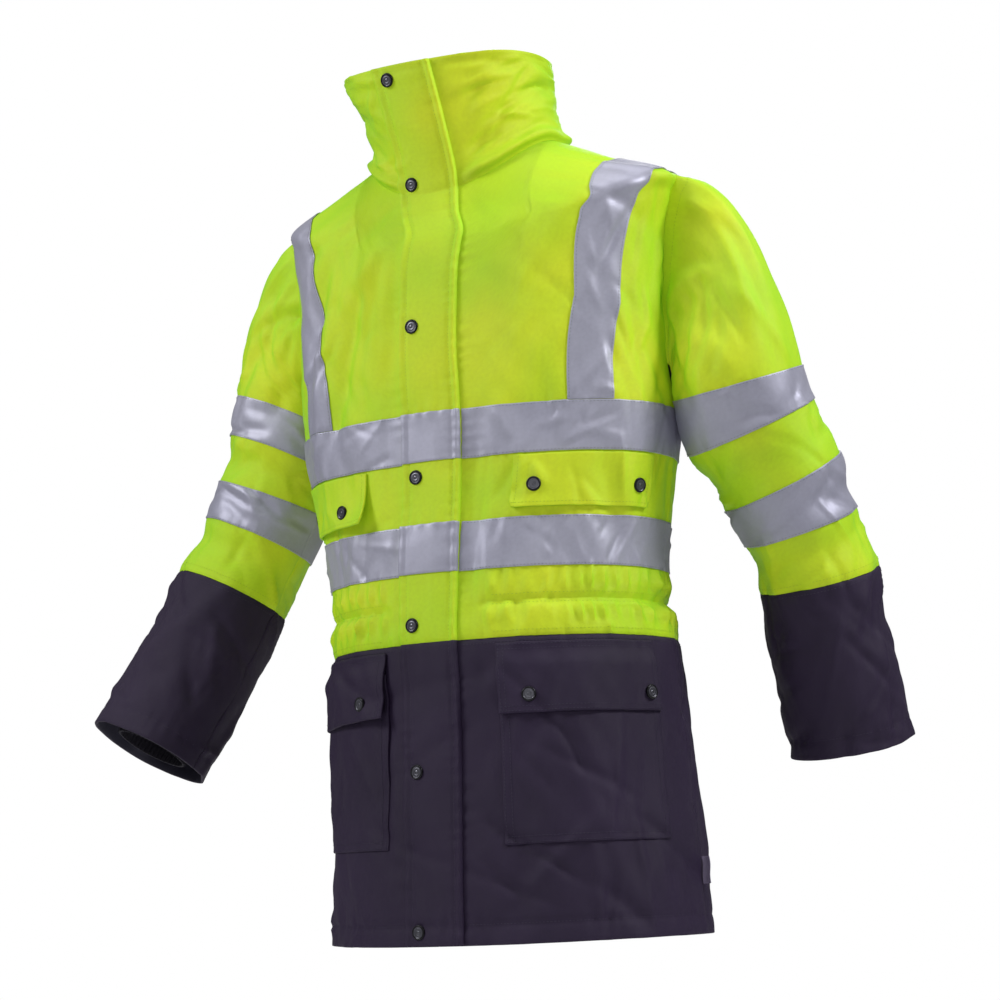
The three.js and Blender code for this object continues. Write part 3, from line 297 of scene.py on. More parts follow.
@dataclass
class BodyForm:
    """The outer face of the body cloth, by an angle from the front centre and a drop."""

    sections: Sections = field(default_factory=lambda: Sections(
        ("down", "front", "back", "half", "fore", "aft", "cx", "cy", "turn", "power"), (
            (820, 823, 815, 204, 156, 136, 13, 24, 5.0, 2.25),
            (740, 742, 738, 200, 153, 136, 13, 22, 4.8, 2.25),
            (670, 671, 669, 196, 148, 134, 12, 20, 4.5, 2.25),
            (600, 600, 600, 192, 144, 131, 11, 18, 4.0, 2.25),
            (525, 525, 525, 188, 141, 128, 9, 15, 4.0, 2.25),
            (487, 487, 487, 181, 137, 122, 7, 12, 3.0, 2.25),
            (428, 428, 428, 185, 132, 120, 6, 10, 2.0, 2.25),
            (371, 371, 371, 195, 126, 118, 6, 8, 1.0, 2.3),
            (314, 314, 314, 205, 121, 117, 5, 4, 0.0, 2.3),
            (280, 280, 280, 208, 119, 117, 5, 2, 0.0, 2.3),
            (220, 230, 214, 209, 118, 117, 4, 0, 0.0, 2.3),
            (160, 184, 150, 210, 117, 115, 6, -1, 0.0, 2.3),
            (105, 144, 96, 214, 114, 110, 8, -3, 0.0, 2.3),
            (74, 119, 68, 219, 109, 103, 11, -5, 0.0, 2.3),
            (54, 105, 50, 222, 104, 97, 12, -6, 0.0, 2.3),
            (31, 84, 18, 170, 95, 92, 4, -8, 0.0, 2.3),
            (0, 59, -23, 105, 87, 86, 0, -10, 0.0, 2.2),
        )))
    broad_folds: tuple[Fold, ...] = (
        Fold(10, 395, 190, 0, 11, -5), Fold(-30, 215, 190, 14, 15, -6),
        Fold(-44, 250, 150, 10, 14, 4), Fold(60, 395, 90, -24, 14, -5),
        Fold(70, 640, 220, 3, 20, -5), Fold(-64, 650, 200, -4, 18, -5),
        Fold(150, 380, 180, 12, 18, -6), Fold(-150, 390, 170, -12, 18, -6),
        Fold(172, 660, 240, 4, 22, -6), Fold(-140, 680, 220, -6, 20, -5),
    )
    fine_folds: tuple[Fold, ...] = (
        # the right chest's slanting folds, from the collar and the shoulder down to the chest tape
        Fold(-38, 110, 170, 26, 13, -4.4), Fold(-27, 190, 150, 12, 10, -3.6),
        Fold(-46, 190, 150, 16, 10, -3.6), Fold(-33, 235, 90, -30, 8, -2.8),
        Fold(-43, 70, 80, 50, 8, -2.8), Fold(-20, 120, 120, 6, 9, 2.4),
        # beside the storm flap's free edge, and from the chest tape to the navy seam
        Fold(-9.8, 170, 330, 0, 4.5, -2.6), Fold(-10.4, 460, 200, 0, 5, -2.8),
        Fold(-10, 690, 230, 0, 5, -2.6),
        Fold(8.4, 435, 120, 0, 3.5, 1.6), Fold(12.5, 440, 150, 2, 4.5, -1.8),
        Fold(15.5, 505, 60, 4, 5, -1.6), Fold(-11.5, 250, 230, 2, 7, -2.6),
        # smaller folds of the wearer's right chest
        Fold(-26, 70, 120, 20, 9, -3.2), Fold(-36, 120, 150, 18, 8, 2.2),
        Fold(-20, 180, 200, 10, 7, -2.4), Fold(-50, 205, 110, 24, 8, -2.4),
        Fold(-33, 300, 150, -10, 10, -2.2),
        # the wearer's left chest
        Fold(68, 225, 150, -12, 9, -2.2), Fold(58, 170, 130, -22, 9, 1.6),
        Fold(38, 240, 120, 8, 16, 1.8), Fold(80, 262, 90, -30, 7, -2.0),
        # tapes over the pockets
        Fold(34, 312, 30, 74, 5, 1.3), Fold(46, 324, 46, 66, 5, 1.5), Fold(52, 309, 40, 70, 4, -1.2),
        Fold(44, 330, 40, 60, 4, -1.2), Fold(34, 430, 50, -34, 4.5, 1.3), Fold(41, 428, 60, -30, 5, -1.3),
        Fold(47, 430, 52, -28, 5, 1.4), Fold(66, 430, 56, 34, 4, -1.6), Fold(70, 430, 56, 34, 4, 1.2),
        Fold(-32, 432, 60, 8, 5, 1.4), Fold(-42, 430, 60, -6, 6, -1.5), Fold(-26, 432, 56, 10, 4, -1.3),
        # under the waist
        Fold(-48, 500, 70, -22, 9, -2.4), Fold(-30, 508, 50, 16, 8, 1.6),
        # skirt
        Fold(62, 640, 170, 4, 13, -2.6), Fold(47, 660, 150, 2, 16, 1.8), Fold(24, 735, 160, 0, 12, -2.0),
        Fold(-40, 740, 150, -3, 13, -2.2), Fold(-54, 610, 110, 5, 9, 2.0), Fold(-18, 640, 230, 1, 8, -2.0),
        # back and sides
        Fold(186, 150, 150, 0, 16, -2.4), Fold(150, 210, 200, -14, 12, 2.4), Fold(214, 215, 190, 14, 12, 2.2),
        Fold(132, 180, 140, -22, 9, -2.4), Fold(229, 180, 140, 22, 9, -2.4), Fold(163, 330, 70, 62, 8, -1.8),
        Fold(201, 352, 80, -58, 8, -1.8), Fold(118, 330, 120, -30, 8, -2.2), Fold(246, 338, 110, 30, 8, -2.2),
        Fold(190, 437, 60, 10, 5, 1.4), Fold(168, 432, 60, -12, 5, -1.4), Fold(140, 430, 56, 24, 5, 1.3),
        Fold(222, 432, 56, -20, 5, 1.3), Fold(158, 640, 210, 4, 12, 2.4), Fold(195, 660, 220, -3, 12, -2.4),
        Fold(222, 620, 160, -8, 11, 2.0), Fold(126, 660, 170, 6, 11, -2.2), Fold(205, 770, 90, 0, 14, 2.0),
    )
    drape: Rumple = Rumple(11, 0.8, 70.0, 150.0)
    crumple: Rumple = Rumple(23, 0.3, 26.0, 42.0, 14)
    scatters: tuple[Creases, ...] = (
        Creases(3, 40, (-90, -14), (60, 288), 24, 24, (30.0, 100.0), (3.6, 8.0), (0.9, 2.2)),
        Creases(4, 38, (14, 92), (40, 288), -8, 40, (26.0, 80.0), (3.6, 8.0), (0.8, 2.0)),
        Creases(5, 90, (94, 266), (40, 288), 0, 45, (30.0, 100.0), (3.4, 8.0), (1.2, 3.0)),
        Creases(6, 56, (14, 346), (292, 342), 0, 40, (20.0, 60.0), (2.6, 5.0), (0.5, 1.3)),
        Creases(7, 60, (14, 346), (344, 404), 0, 36, (20.0, 60.0), (2.8, 6.0), (1.0, 2.4)),
        Creases(8, 56, (14, 346), (406, 458), 0, 34, (20.0, 60.0), (2.6, 5.0), (0.6, 1.5)),
        Creases(9, 80, (20, 340), (462, 520), 10, 30, (16.0, 44.0), (2.4, 5.0), (1.0, 2.4)),
        Creases(10, 120, (0, 360), (530, 815), 0, 34, (40.0, 130.0), (4.0, 9.0), (1.0, 2.8)),
    )

    def __post_init__(self) -> None:
        """Scatters the small creases."""
        self.small_folds = [fold for scatter in self.scatters for fold in scatter.folds()]

    def skin(self, angle: np.ndarray, down: np.ndarray, folded: bool = True) -> np.ndarray:
        """Points of the form with its broad folds, or without them.

        Args:
            angle: Degrees from the front centre towards the wearer's left.
            down: Drops below the sides of the neck.
            folded: Whether the broad folds count.

        Returns:
            Points in millimetres.
        """
        angle, down = np.broadcast_arrays(np.asarray(angle, float), np.asarray(down, float))
        s = self.sections.at(down)
        sine, cosine = np.sin(np.radians(angle)), np.cos(np.radians(angle))
        fold = np.zeros_like(down)
        if folded:
            for item in self.broad_folds:
                fold = fold + item.height(angle, down, (s["half"] + s["fore"]) / 2)
        depth = np.where(cosine > 0, s["fore"], s["aft"])
        drop = np.where(cosine > 0, s["front"], s["back"])
        x = (s["half"] + fold) * signed_power(sine, 2 / s["power"])
        y = -(depth + fold) * signed_power(cosine, 2 / s["power"])
        turn = -np.radians(s["turn"])
        return np.stack([s["cx"] + x * np.cos(turn) - y * np.sin(turn),
                         s["cy"] + x * np.sin(turn) + y * np.cos(turn),
                         -(s["down"] + (drop - s["down"]) * cosine**2)], -1)

    def gathers(self, angle: np.ndarray, down: np.ndarray) -> np.ndarray:
        """Height of the elastic's puckers along the waist line."""
        swing = wrap(angle)
        arc = np.radians(swing) * WAIST_ROUND
        step = arc / 16.6 + 0.22 * np.sin(arc / 31 + 1.0) + 0.1 * np.sin(arc / 11)
        upper = (0.5 + 0.5 * np.cos(2 * math.pi * step)) ** 2.2
        lower = (0.5 + 0.5 * np.cos(2 * math.pi * (step + 0.18 * np.sin(arc / 23)))) ** 2.2
        uneven = 0.7 + 0.3 * np.sin(arc / 19 + 0.5) + 0.25 * np.sin(arc / 43 + 2.0)
        above, below = down - GATHER_UPPER, down - GATHER_LOWER
        top = 6.0 * upper * np.exp(-np.abs(above / np.where(above < 0, 14, 7)) ** 2)
        foot = 7.0 * lower * np.exp(-np.abs(below / np.where(below > 0, 11, 7)) ** 2)
        casing = GATHER_LINE + 2.6 * np.abs(np.sin(math.pi * step))
        groove = -3.2 * np.exp(-(((down - casing) / 3.4) ** 2))
        clear = ramp(np.abs(swing), 11.0, 20.0)
        return clear * (uneven * (top + foot) + groove)

    def relief(self, angle: np.ndarray, down: np.ndarray) -> np.ndarray:
        """Height of the fine folds, drape and gathers over the broad form."""
        arc = np.radians(wrap(angle)) * BODY_ROUND
        rise = self.drape.value(arc, down) + self.crumple.value(arc, down)
        for item in (*self.fine_folds, *self.small_folds):
            rise = rise + item.height(angle, down, BODY_ROUND)
        calm = 0.45 + 0.55 * ramp(np.abs(wrap(angle)), 9.0, 16.0)
        seam = -1.3 * np.exp(-(((down - NAVY_SEAM) / 3.0) ** 2))
        hem = -1.3 * np.exp(-(((down - HEM + 20) / 2.6) ** 2)) + 0.5 * ramp(down, HEM - 16, HEM - 8)
        top = ramp(down, 0.0, 22.0)
        return (top * calm * rise + seam + hem + self.gathers(angle, down)
                + top * self.seam_puckers(angle, down))

    def seam_puckers(self, angle: np.ndarray, down: np.ndarray) -> np.ndarray:
        """Height of the puckers along the tapes, the seams and the hem."""
        swing = wrap(angle)
        arc = np.radians(swing) * BODY_ROUND
        rise = np.zeros_like(arc)
        for beat, level in enumerate((*CHEST_TAPE, *WAIST_TAPE)):
            inside = level in (CHEST_TAPE[0], WAIST_TAPE[0])
            apart = (down - level) * np.where((down > level) == inside, 2.0, 1.0)
            rise = rise + pucker(arc, apart, beat + 0.7, 0.75)
        rise = rise + pucker(arc, down - NAVY_SEAM, 5.1, 0.8, 12.0, 10.0)
        rise = rise + pucker(arc, down - HEM + 20, 6.3, 0.9, 13.0, 12.0)
        across = 200.0 * signed_power(np.sin(np.radians(swing)), 0.87)
        front = np.cos(np.radians(swing)) > 0
        for beat, edge in ((7.2, PLACKET_SEWN + 2.0), (8.4, PLACKET_FREE - 3.0)):
            rise = rise + np.where(front, pucker(down, across - edge, beat, 0.8, 15.0, 9.0), 0.0)
        for beat, seam in ((9.1, SIDE_SEAM), (9.9, -SIDE_SEAM)):
            rise = rise + pucker(down, np.radians(swing - seam) * BODY_ROUND, beat, 0.8, 14.0, 9.0)
        return rise

    def normal(self, angle: np.ndarray, down: np.ndarray) -> np.ndarray:
        """Outward directions square to the form without its folds."""
        around = self.skin(angle + 1, down, False) - self.skin(angle - 1, down, False)
        below, above = np.minimum(down + 2, HEM), np.maximum(down - 2, 0)
        return unit(np.cross(self.skin(angle, below, False) - self.skin(angle, above, False), around))

    def point(self, angle: np.ndarray, down: np.ndarray, lift: np.ndarray | float = 0.0) -> np.ndarray:
        """Points of the finished cloth, moved out by lift.

        Args:
            angle: Degrees from the front centre.
            down: Drops below the sides of the neck.
            lift: Millimetres outwards.

        Returns:
            Points in millimetres.
        """
        angle, down = np.broadcast_arrays(np.asarray(angle, float), np.asarray(down, float))
        height = np.asarray(lift + self.relief(angle, down))[..., None]
        return self.skin(angle, down) + self.normal(angle, down) * height

    def angle_at(self, distance: np.ndarray | float, down: np.ndarray | float) -> np.ndarray:
        """The angle of a distance from the centre line on a level section."""
        s = self.sections.at(np.asarray(down, float))
        share = np.clip(np.abs(distance) / s["half"], 0, 1)
        return np.sign(distance) * np.degrees(np.arcsin(share ** (s["power"] / 2)))

    def shoulder_drop(self, distance: float) -> float:
        """The drop on the shoulder seam at a distance from the centre line."""
        drops = np.linspace(0, SHOULDER_TIP, 400)
        return float(np.interp(distance, self.sections.at(drops)["half"], drops))

    def side_x(self, side: Side, depth: np.ndarray, down: np.ndarray) -> np.ndarray:
        """How far the body's side stands from the middle plane at a depth and a drop."""
        front, back = np.full_like(depth, 20.0), np.full_like(depth, 160.0)
        for _ in range(16):
            middle = (front + back) / 2
            nearer = self.skin(side.value * middle, down)[..., 1] < depth
            front, back = np.where(nearer, middle, front), np.where(nearer, back, middle)
        return side.value * self.skin(side.value * front, down)[..., 0]


# ---- Charts of the body panels

@dataclass(frozen=True)
class Armhole:
    """An oval opening: the drop of its lowest point and its reach forwards and backwards."""

    bottom: float
    fore: float
    aft: float


ARMHOLES = {Side.LEFT: Armhole(281.0, 6.0, 23.0), Side.RIGHT: Armhole(254.0, 8.0, 22.0)}
COLUMNS = ((30, 34), (65, 68), (76, 92), (88, 105), (114, 144), (138, 176), (158, 196), (177, 216))
SIDE_SHARES = (0.3, 0.58)


class PanelChart:
    """Angles and drops over one front half, from the centre line to the side and the armhole.

    A place is a column number (0 at the centre line, 11 at the side) and a row number:
    0 to 1 rises from the navy seam to the armhole's foot, 1 to 2 from there to the top.
    """

    LEVELS, BODICE = 60, 90
    EDGE = len(COLUMNS) + len(SIDE_SHARES) + 1

    def __init__(self, body: BodyForm, side: Side, face: Face) -> None:
        """Works out the chart's grid.

        Args:
            body: The body's form.
            side: The wearer's side.
            face: Front or back.
        """
        self.body, self.side, self.face = body, side, face
        hole, level = ARMHOLES[side], ARMHOLES[Side.LEFT].bottom
        shares = np.linspace(0, 1, self.BODICE)
        feet = [level] + [level + (hole.bottom - level) * c / COLUMNS[-1][0] for c, _ in COLUMNS]
        self.feet = np.array(feet + [hole.bottom] * (len(SIDE_SHARES) + 1))
        tracks = [self.spread(self.centre_track(level), shares)]
        tracks += [self.spread(self.column_track(c, top, foot), shares)
                   for (c, top), foot in zip(COLUMNS, feet[1:])]
        edge = self.spread(self.edge_track(hole), shares)
        tracks += [tracks[-1] + (edge - tracks[-1]) * share for share in SIDE_SHARES] + [edge]
        bodice = np.stack(tracks, 1)
        w = np.linspace(0, 1, self.LEVELS)[:, None]
        downs = NAVY_SEAM + (self.feet[None, :] - NAVY_SEAM) * w
        lower = np.stack([self.level_angles(downs), downs], -1)
        self.grid = np.concatenate([lower, bodice[1:]], 0)
        self.rows = np.concatenate([w[:, 0], 1 + shares[1:]])

    def level_angles(self, downs: np.ndarray) -> np.ndarray:
        """Angles of all columns at the drops given for each."""
        body = self.body
        half = body.sections.at(downs)["half"]
        chest = body.sections.at(np.array(ARMHOLES[Side.LEFT].bottom))["half"]
        columns = [np.zeros(downs.shape[0])]
        columns += [body.angle_at(c * half[:, i] / chest, downs[:, i]) for i, (c, _) in enumerate(COLUMNS, 1)]
        if self.face is Face.BACK:
            columns = [180 - column for column in columns]
        columns += [columns[-1] + (SIDE_SEAM - columns[-1]) * share for share in SIDE_SHARES]
        return np.stack(columns + [np.full(downs.shape[0], SIDE_SEAM)], 1)

    def centre_track(self, level: float) -> Callable[[np.ndarray], np.ndarray]:
        """The centre line above the armhole's foot."""
        angle = 0.0 if self.face is Face.FRONT else 180.0
        return lambda t: np.stack([np.full_like(t, angle), level * (1 - t)], -1)

    def column_track(self, chest: float, top: float, foot: float) -> Callable[[np.ndarray], np.ndarray]:
        """A column's line from the armhole's foot up to the neck or shoulder seam."""
        end = 0.0 if top <= NECK_HALF else self.body.shoulder_drop(top)
        ease = 1.6 if self.face is Face.FRONT else 3.0

        def track(t: np.ndarray) -> np.ndarray:
            down = end + (foot - end) * (1 - t) ** 2
            share = ((foot - down) / (foot - end)) ** ease
            angle = self.body.angle_at(chest + (top - chest) * share, down)
            return np.stack([angle if self.face is Face.FRONT else 180 - angle, down], -1)
        return track

    def edge_track(self, hole: Armhole) -> Callable[[np.ndarray], np.ndarray]:
        """The armhole's edge from its lowest point up to the shoulder tip."""
        width = -hole.fore if self.face is Face.FRONT else hole.aft

        def track(t: np.ndarray) -> np.ndarray:
            seam = SIDE_SEAM + (SHOULDER_SEAM - SIDE_SEAM) * t
            bulge = np.clip(np.sin(math.pi * t), 0, None) ** 0.8
            down = (hole.bottom + SHOULDER_TIP) / 2 + (hole.bottom - SHOULDER_TIP) / 2 * np.cos(math.pi * t)
            return np.stack([seam + width * bulge, down], -1)
        return track

    def spread(self, track: Callable[[np.ndarray], np.ndarray], shares: np.ndarray) -> np.ndarray:
        """Places spread along a track by real length."""
        t = np.linspace(0, 1, 241)
        places = track(t)
        skin = self.body.skin(self.side.value * places[:, 0], places[:, 1])
        lengths = np.concatenate([[0], np.cumsum(np.linalg.norm(np.diff(skin, axis=0), axis=1))])
        return track(np.interp(shares * lengths[-1], lengths, t))

    def at(self, column: np.ndarray, row: np.ndarray) -> tuple[np.ndarray, np.ndarray]:
        """Angles and drops at places of the chart.

        Args:
            column: Column numbers, 0 to 11.
            row: Row numbers, 0 to 2.

        Returns:
            Angles in degrees, signed for the side, and drops in millimetres.
        """
        column, row = np.broadcast_arrays(column, row)
        place = np.interp(row, self.rows, np.arange(len(self.rows)))
        r = np.clip(place.astype(int), 0, len(self.rows) - 2)
        c = np.clip(column.astype(int), 0, self.EDGE - 1)
        fr, fc = (place - r)[..., None], (column - c)[..., None]
        g = self.grid
        value = ((g[r, c] * (1 - fc) + g[r, c + 1] * fc) * (1 - fr)
                 + (g[r + 1, c] * (1 - fc) + g[r + 1, c + 1] * fc) * fr)
        return self.side.value * value[..., 0], value[..., 1]

    def row_of(self, column: np.ndarray, down: float) -> np.ndarray:
        """The row number at a drop below the armhole's foot, in each column."""
        foot = np.interp(column, np.arange(self.EDGE + 1), self.feet)
        return (NAVY_SEAM - down) / (NAVY_SEAM - foot)


# ---- Mesh building

def grid_mesh(name: str, across: int, along: int, surface: Field, ring: bool = False) -> bpy.types.Object:
    """A cloth sheet: an even grid of faces laid on a surface, with a map in real metres.

    Args:
        name: The piece's name.
        across: Faces across it.
        along: Faces along it.
        surface: Points in millimetres for shares across and along, 0 to 1.
        ring: Whether the two sides meet and are joined.

    Returns:
        The new object, linked to the scene.
    """
    bm = bmesh.new()
    bmesh.ops.create_grid(bm, x_segments=across, y_segments=along, size=0.5)
    flat = np.array([vert.co[:2] for vert in bm.verts]) + 0.5
    levels_u, levels_v = np.unique(flat[:, 0].round(6)), np.unique(flat[:, 1].round(6))
    iu = np.rint(flat[:, 0] * (len(levels_u) - 1)).astype(int)
    iv = np.rint(flat[:, 1] * (len(levels_v) - 1)).astype(int)
    u, v = np.meshgrid(np.linspace(0, 1, len(levels_u)), np.linspace(0, 1, len(levels_v)), indexing="ij")
    points = surface(u, v) * MM
    steps_u = np.linalg.norm(np.diff(points, axis=0), axis=2)
    steps_v = np.linalg.norm(np.diff(points, axis=1), axis=2)
    map_u = np.concatenate([np.zeros((1, points.shape[1])), np.cumsum(steps_u, 0)], 0)
    map_u -= map_u[len(levels_u) // 2]
    map_v = np.concatenate([[0], np.cumsum(steps_v.mean(0))])
    for vert, a, b in zip(bm.verts, iu, iv):
        vert.co = points[a, b]
    bm.verts.index_update()
    layer = bm.loops.layers.uv.new("cloth")
    for face in bm.faces:
        for loop in face.loops:
            i = loop.vert.index
            loop[layer].uv = (map_u[iu[i], iv[i]], map_v[iv[i]])
    middles = points.mean(0)
    bm.normal_update()
    outward = 0.0
    for face in list(bm.faces)[::7]:
        centre = face.calc_center_median()
        axis = Vector(middles[iv[face.verts[0].index]]) if ring else Vector((0.008, 0.012, centre.z))
        outward += face.normal.dot(centre - axis)
    if outward < 0:
        bmesh.ops.reverse_faces(bm, faces=bm.faces)
    if ring:
        bmesh.ops.remove_doubles(bm, verts=bm.verts, dist=1e-6)
    return to_object(name, bm)


def to_object(name: str, bm: bmesh.types.BMesh) -> bpy.types.Object:
    """Turns a bmesh into a smooth-shaded object at the origin.

    Args:
        name: The piece's name.
        bm: The mesh, which is freed.

    Returns:
        The new object.
    """
    mesh = bpy.data.meshes.new(name)
    bm.to_mesh(mesh)
    bm.free()
    mesh.shade_smooth()
    piece = bpy.data.objects.new(name, mesh)
    bpy.context.scene.collection.objects.link(piece)
    return piece


def thicken(piece: bpy.types.Object, cloth: float, lining: bool = False, edge: float = 0.3) -> None:
    """Gives a sheet its cloth, inwards from its outer face, and rounds its edges.

    Args:
        piece: The sheet.
        cloth: Thickness in millimetres.
        lining: Whether the inner face takes the second material.
        edge: Share of the thickness that the edges are rounded by.
    """
    wall = piece.modifiers.new("cloth", "SOLIDIFY")
    wall.thickness = cloth * MM
    wall.offset = -1.0
    wall.use_rim = True
    wall.material_offset = 1 if lining else 0
    edges = piece.modifiers.new("edges", "BEVEL")
    edges.width = cloth * edge * MM
    edges.segments = 2
    edges.limit_method = "ANGLE"
    edges.angle_limit = math.radians(50)
    edges.use_clamp_overlap = True


@dataclass(frozen=True)
class Thread:
    """Size of a line of stitches, in millimetres."""

    pitch: float = 3.6
    length: float = 2.5
    width: float = 0.55
    height: float = 0.4


def stitch_mesh(name: str, lines: Sequence[tuple[np.ndarray, np.ndarray]], thread: Thread = Thread()
                ) -> bpy.types.Object:
    """Rows of stitches lying on the cloth.

    Args:
        name: The piece's name.
        lines: For each line its points and outward directions, in millimetres.
        thread: The stitches' size.

    Returns:
        One object with all the stitches.
    """
    whole = bmesh.new()
    for points, normals in lines:
        lengths = np.concatenate([[0], np.cumsum(np.linalg.norm(np.diff(points, axis=0), axis=1))])
        places = np.arange(thread.pitch / 2, lengths[-1], thread.pitch)
        spots = np.stack([np.interp(places, lengths, points[:, i]) for i in range(3)], 1)
        ahead = np.stack([np.interp(places + 0.5, lengths, points[:, i]) for i in range(3)], 1)
        ways = unit(np.stack([np.interp(places, lengths, normals[:, i]) for i in range(3)], 1))
        run = bmesh.new()
        for spot, tip, way in zip(spots, ahead, ways):
            if np.linalg.norm(tip - spot) < 1e-6:
                continue
            x = Vector(tip - spot).normalized()
            z = Vector(way)
            y = z.cross(x).normalized()
            z = x.cross(y)
            frame = Matrix((x * thread.length / 2, y * thread.width / 2, z * thread.height / 2)).transposed()
            place = Matrix.Translation(Vector(spot * MM)) @ (frame * MM).to_4x4()
            bmesh.ops.create_icosphere(run, subdivisions=1, radius=1.0, matrix=place)
        mesh = bpy.data.meshes.new("run")
        run.to_mesh(mesh)
        run.free()
        whole.from_mesh(mesh)
        bpy.data.meshes.remove(mesh)
    return to_object(name, whole)


# ---- Finishes

def add_node(tree: bpy.types.NodeTree, kind: str, values: dict[str | int, object] | None = None,
             **settings: object) -> bpy.types.Node:
    """Adds one shader node.

    Args:
        tree: The tree it goes in.
        kind: The node's type, without the leading ShaderNode.
        values: Values for its input sockets, by name or number.
        settings: Values for the node's own properties.

    Returns:
        The new node.
    """
    node = tree.nodes.new(f"ShaderNode{kind}")
    for name, value in settings.items():
        setattr(node, name, value)
    for socket, value in (values or {}).items():
        node.inputs[socket].default_value = value
    return node


def new_group(name: str, given: dict[str, float], results: Sequence[str]
              ) -> tuple[bpy.types.NodeTree, bpy.types.Node, bpy.types.Node]:
    """An empty node group whose sockets are all numbers.

    Args:
        name: The group's name.
        given: Its inputs with their usual values.
        results: Its outputs.

    Returns:
        The group, its input node and its output node.
    """
    group = bpy.data.node_groups.new(name, "ShaderNodeTree")
    for label, value in given.items():
        socket = group.interface.new_socket(name=label, in_out="INPUT", socket_type="NodeSocketFloat")
        socket.default_value = value
    for label in results:
        group.interface.new_socket(name=label, in_out="OUTPUT", socket_type="NodeSocketFloat")
    return group, group.nodes.new("NodeGroupInput"), group.nodes.new("NodeGroupOutput")


def build_weave_group() -> bpy.types.NodeTree:
    """A plain weave with small slubs, read on the cloth's own map in metres.

    Returns:
        The node group, with Pitch and Slub inputs and Height and Shade outputs.
    """
    group, given, results = new_group("coated_weave", {"Pitch": 0.0011, "Slub": 0.4}, ("Height", "Shade"))
    link = group.links.new
    cloth = add_node(group, "UVMap", uv_map="cloth").outputs["UV"]
    turns = add_node(group, "Math", {0: math.tau}, operation="DIVIDE")
    link(given.outputs["Pitch"], turns.inputs[1])
    scale = add_node(group, "VectorMath", operation="SCALE")
    link(cloth, scale.inputs[0])
    link(turns.outputs[0], scale.inputs["Scale"])
    split = add_node(group, "SeparateXYZ")
    link(scale.outputs[0], split.inputs[0])
    weave = add_node(group, "Math", operation="MULTIPLY")
    for i, axis in enumerate(("X", "Y")):
        sine = add_node(group, "Math", operation="SINE")
        link(split.outputs[axis], sine.inputs[0])
        link(sine.outputs[0], weave.inputs[i])
    slubs = add_node(group, "TexNoise", {"Scale": 240.0, "Detail": 2.0})
    link(cloth, slubs.inputs["Vector"])
    mixed = add_node(group, "Math", operation="MULTIPLY_ADD")
    link(slubs.outputs[0], mixed.inputs[0])
    link(given.outputs["Slub"], mixed.inputs[1])
    link(weave.outputs[0], mixed.inputs[2])
    link(mixed.outputs[0], results.inputs["Height"])
    link(slubs.outputs[0], results.inputs["Shade"])
    return group


def build_crease_group() -> bpy.types.NodeTree:
    """Small soft creases and slow uneven colour, read on Object coordinates.

    Returns:
        The node group, with Size and Stretch inputs and Height and Patch outputs.
    """
    group, given, results = new_group("soft_creases", {"Size": 18.0, "Stretch": 0.5}, ("Height", "Patch"))
    link = group.links.new
    place = add_node(group, "TexCoord").outputs["Object"]
    stretch = add_node(group, "CombineXYZ", {"X": 1.0, "Y": 1.0})
    link(given.outputs["Stretch"], stretch.inputs["Z"])
    scale = add_node(group, "VectorMath", operation="MULTIPLY")
    link(place, scale.inputs[0])
    link(stretch.outputs[0], scale.inputs[1])
    small = add_node(group, "TexNoise", {"Detail": 3.0, "Roughness": 0.45, "Distortion": 0.6})
    link(scale.outputs[0], small.inputs["Vector"])
    link(given.outputs["Size"], small.inputs["Scale"])
    fold = add_node(group, "Math", {1: 0.5}, operation="SUBTRACT")
    link(small.outputs[0], fold.inputs[0])
    ridge = add_node(group, "Math", operation="ABSOLUTE")
    link(fold.outputs[0], ridge.inputs[0])
    broad = add_node(group, "TexNoise", {"Scale": 7.0, "Detail": 2.0})
    link(place, broad.inputs["Vector"])
    link(ridge.outputs[0], results.inputs["Height"])
    link(broad.outputs[0], results.inputs["Patch"])
    return group


Colour = tuple[float, float, float]


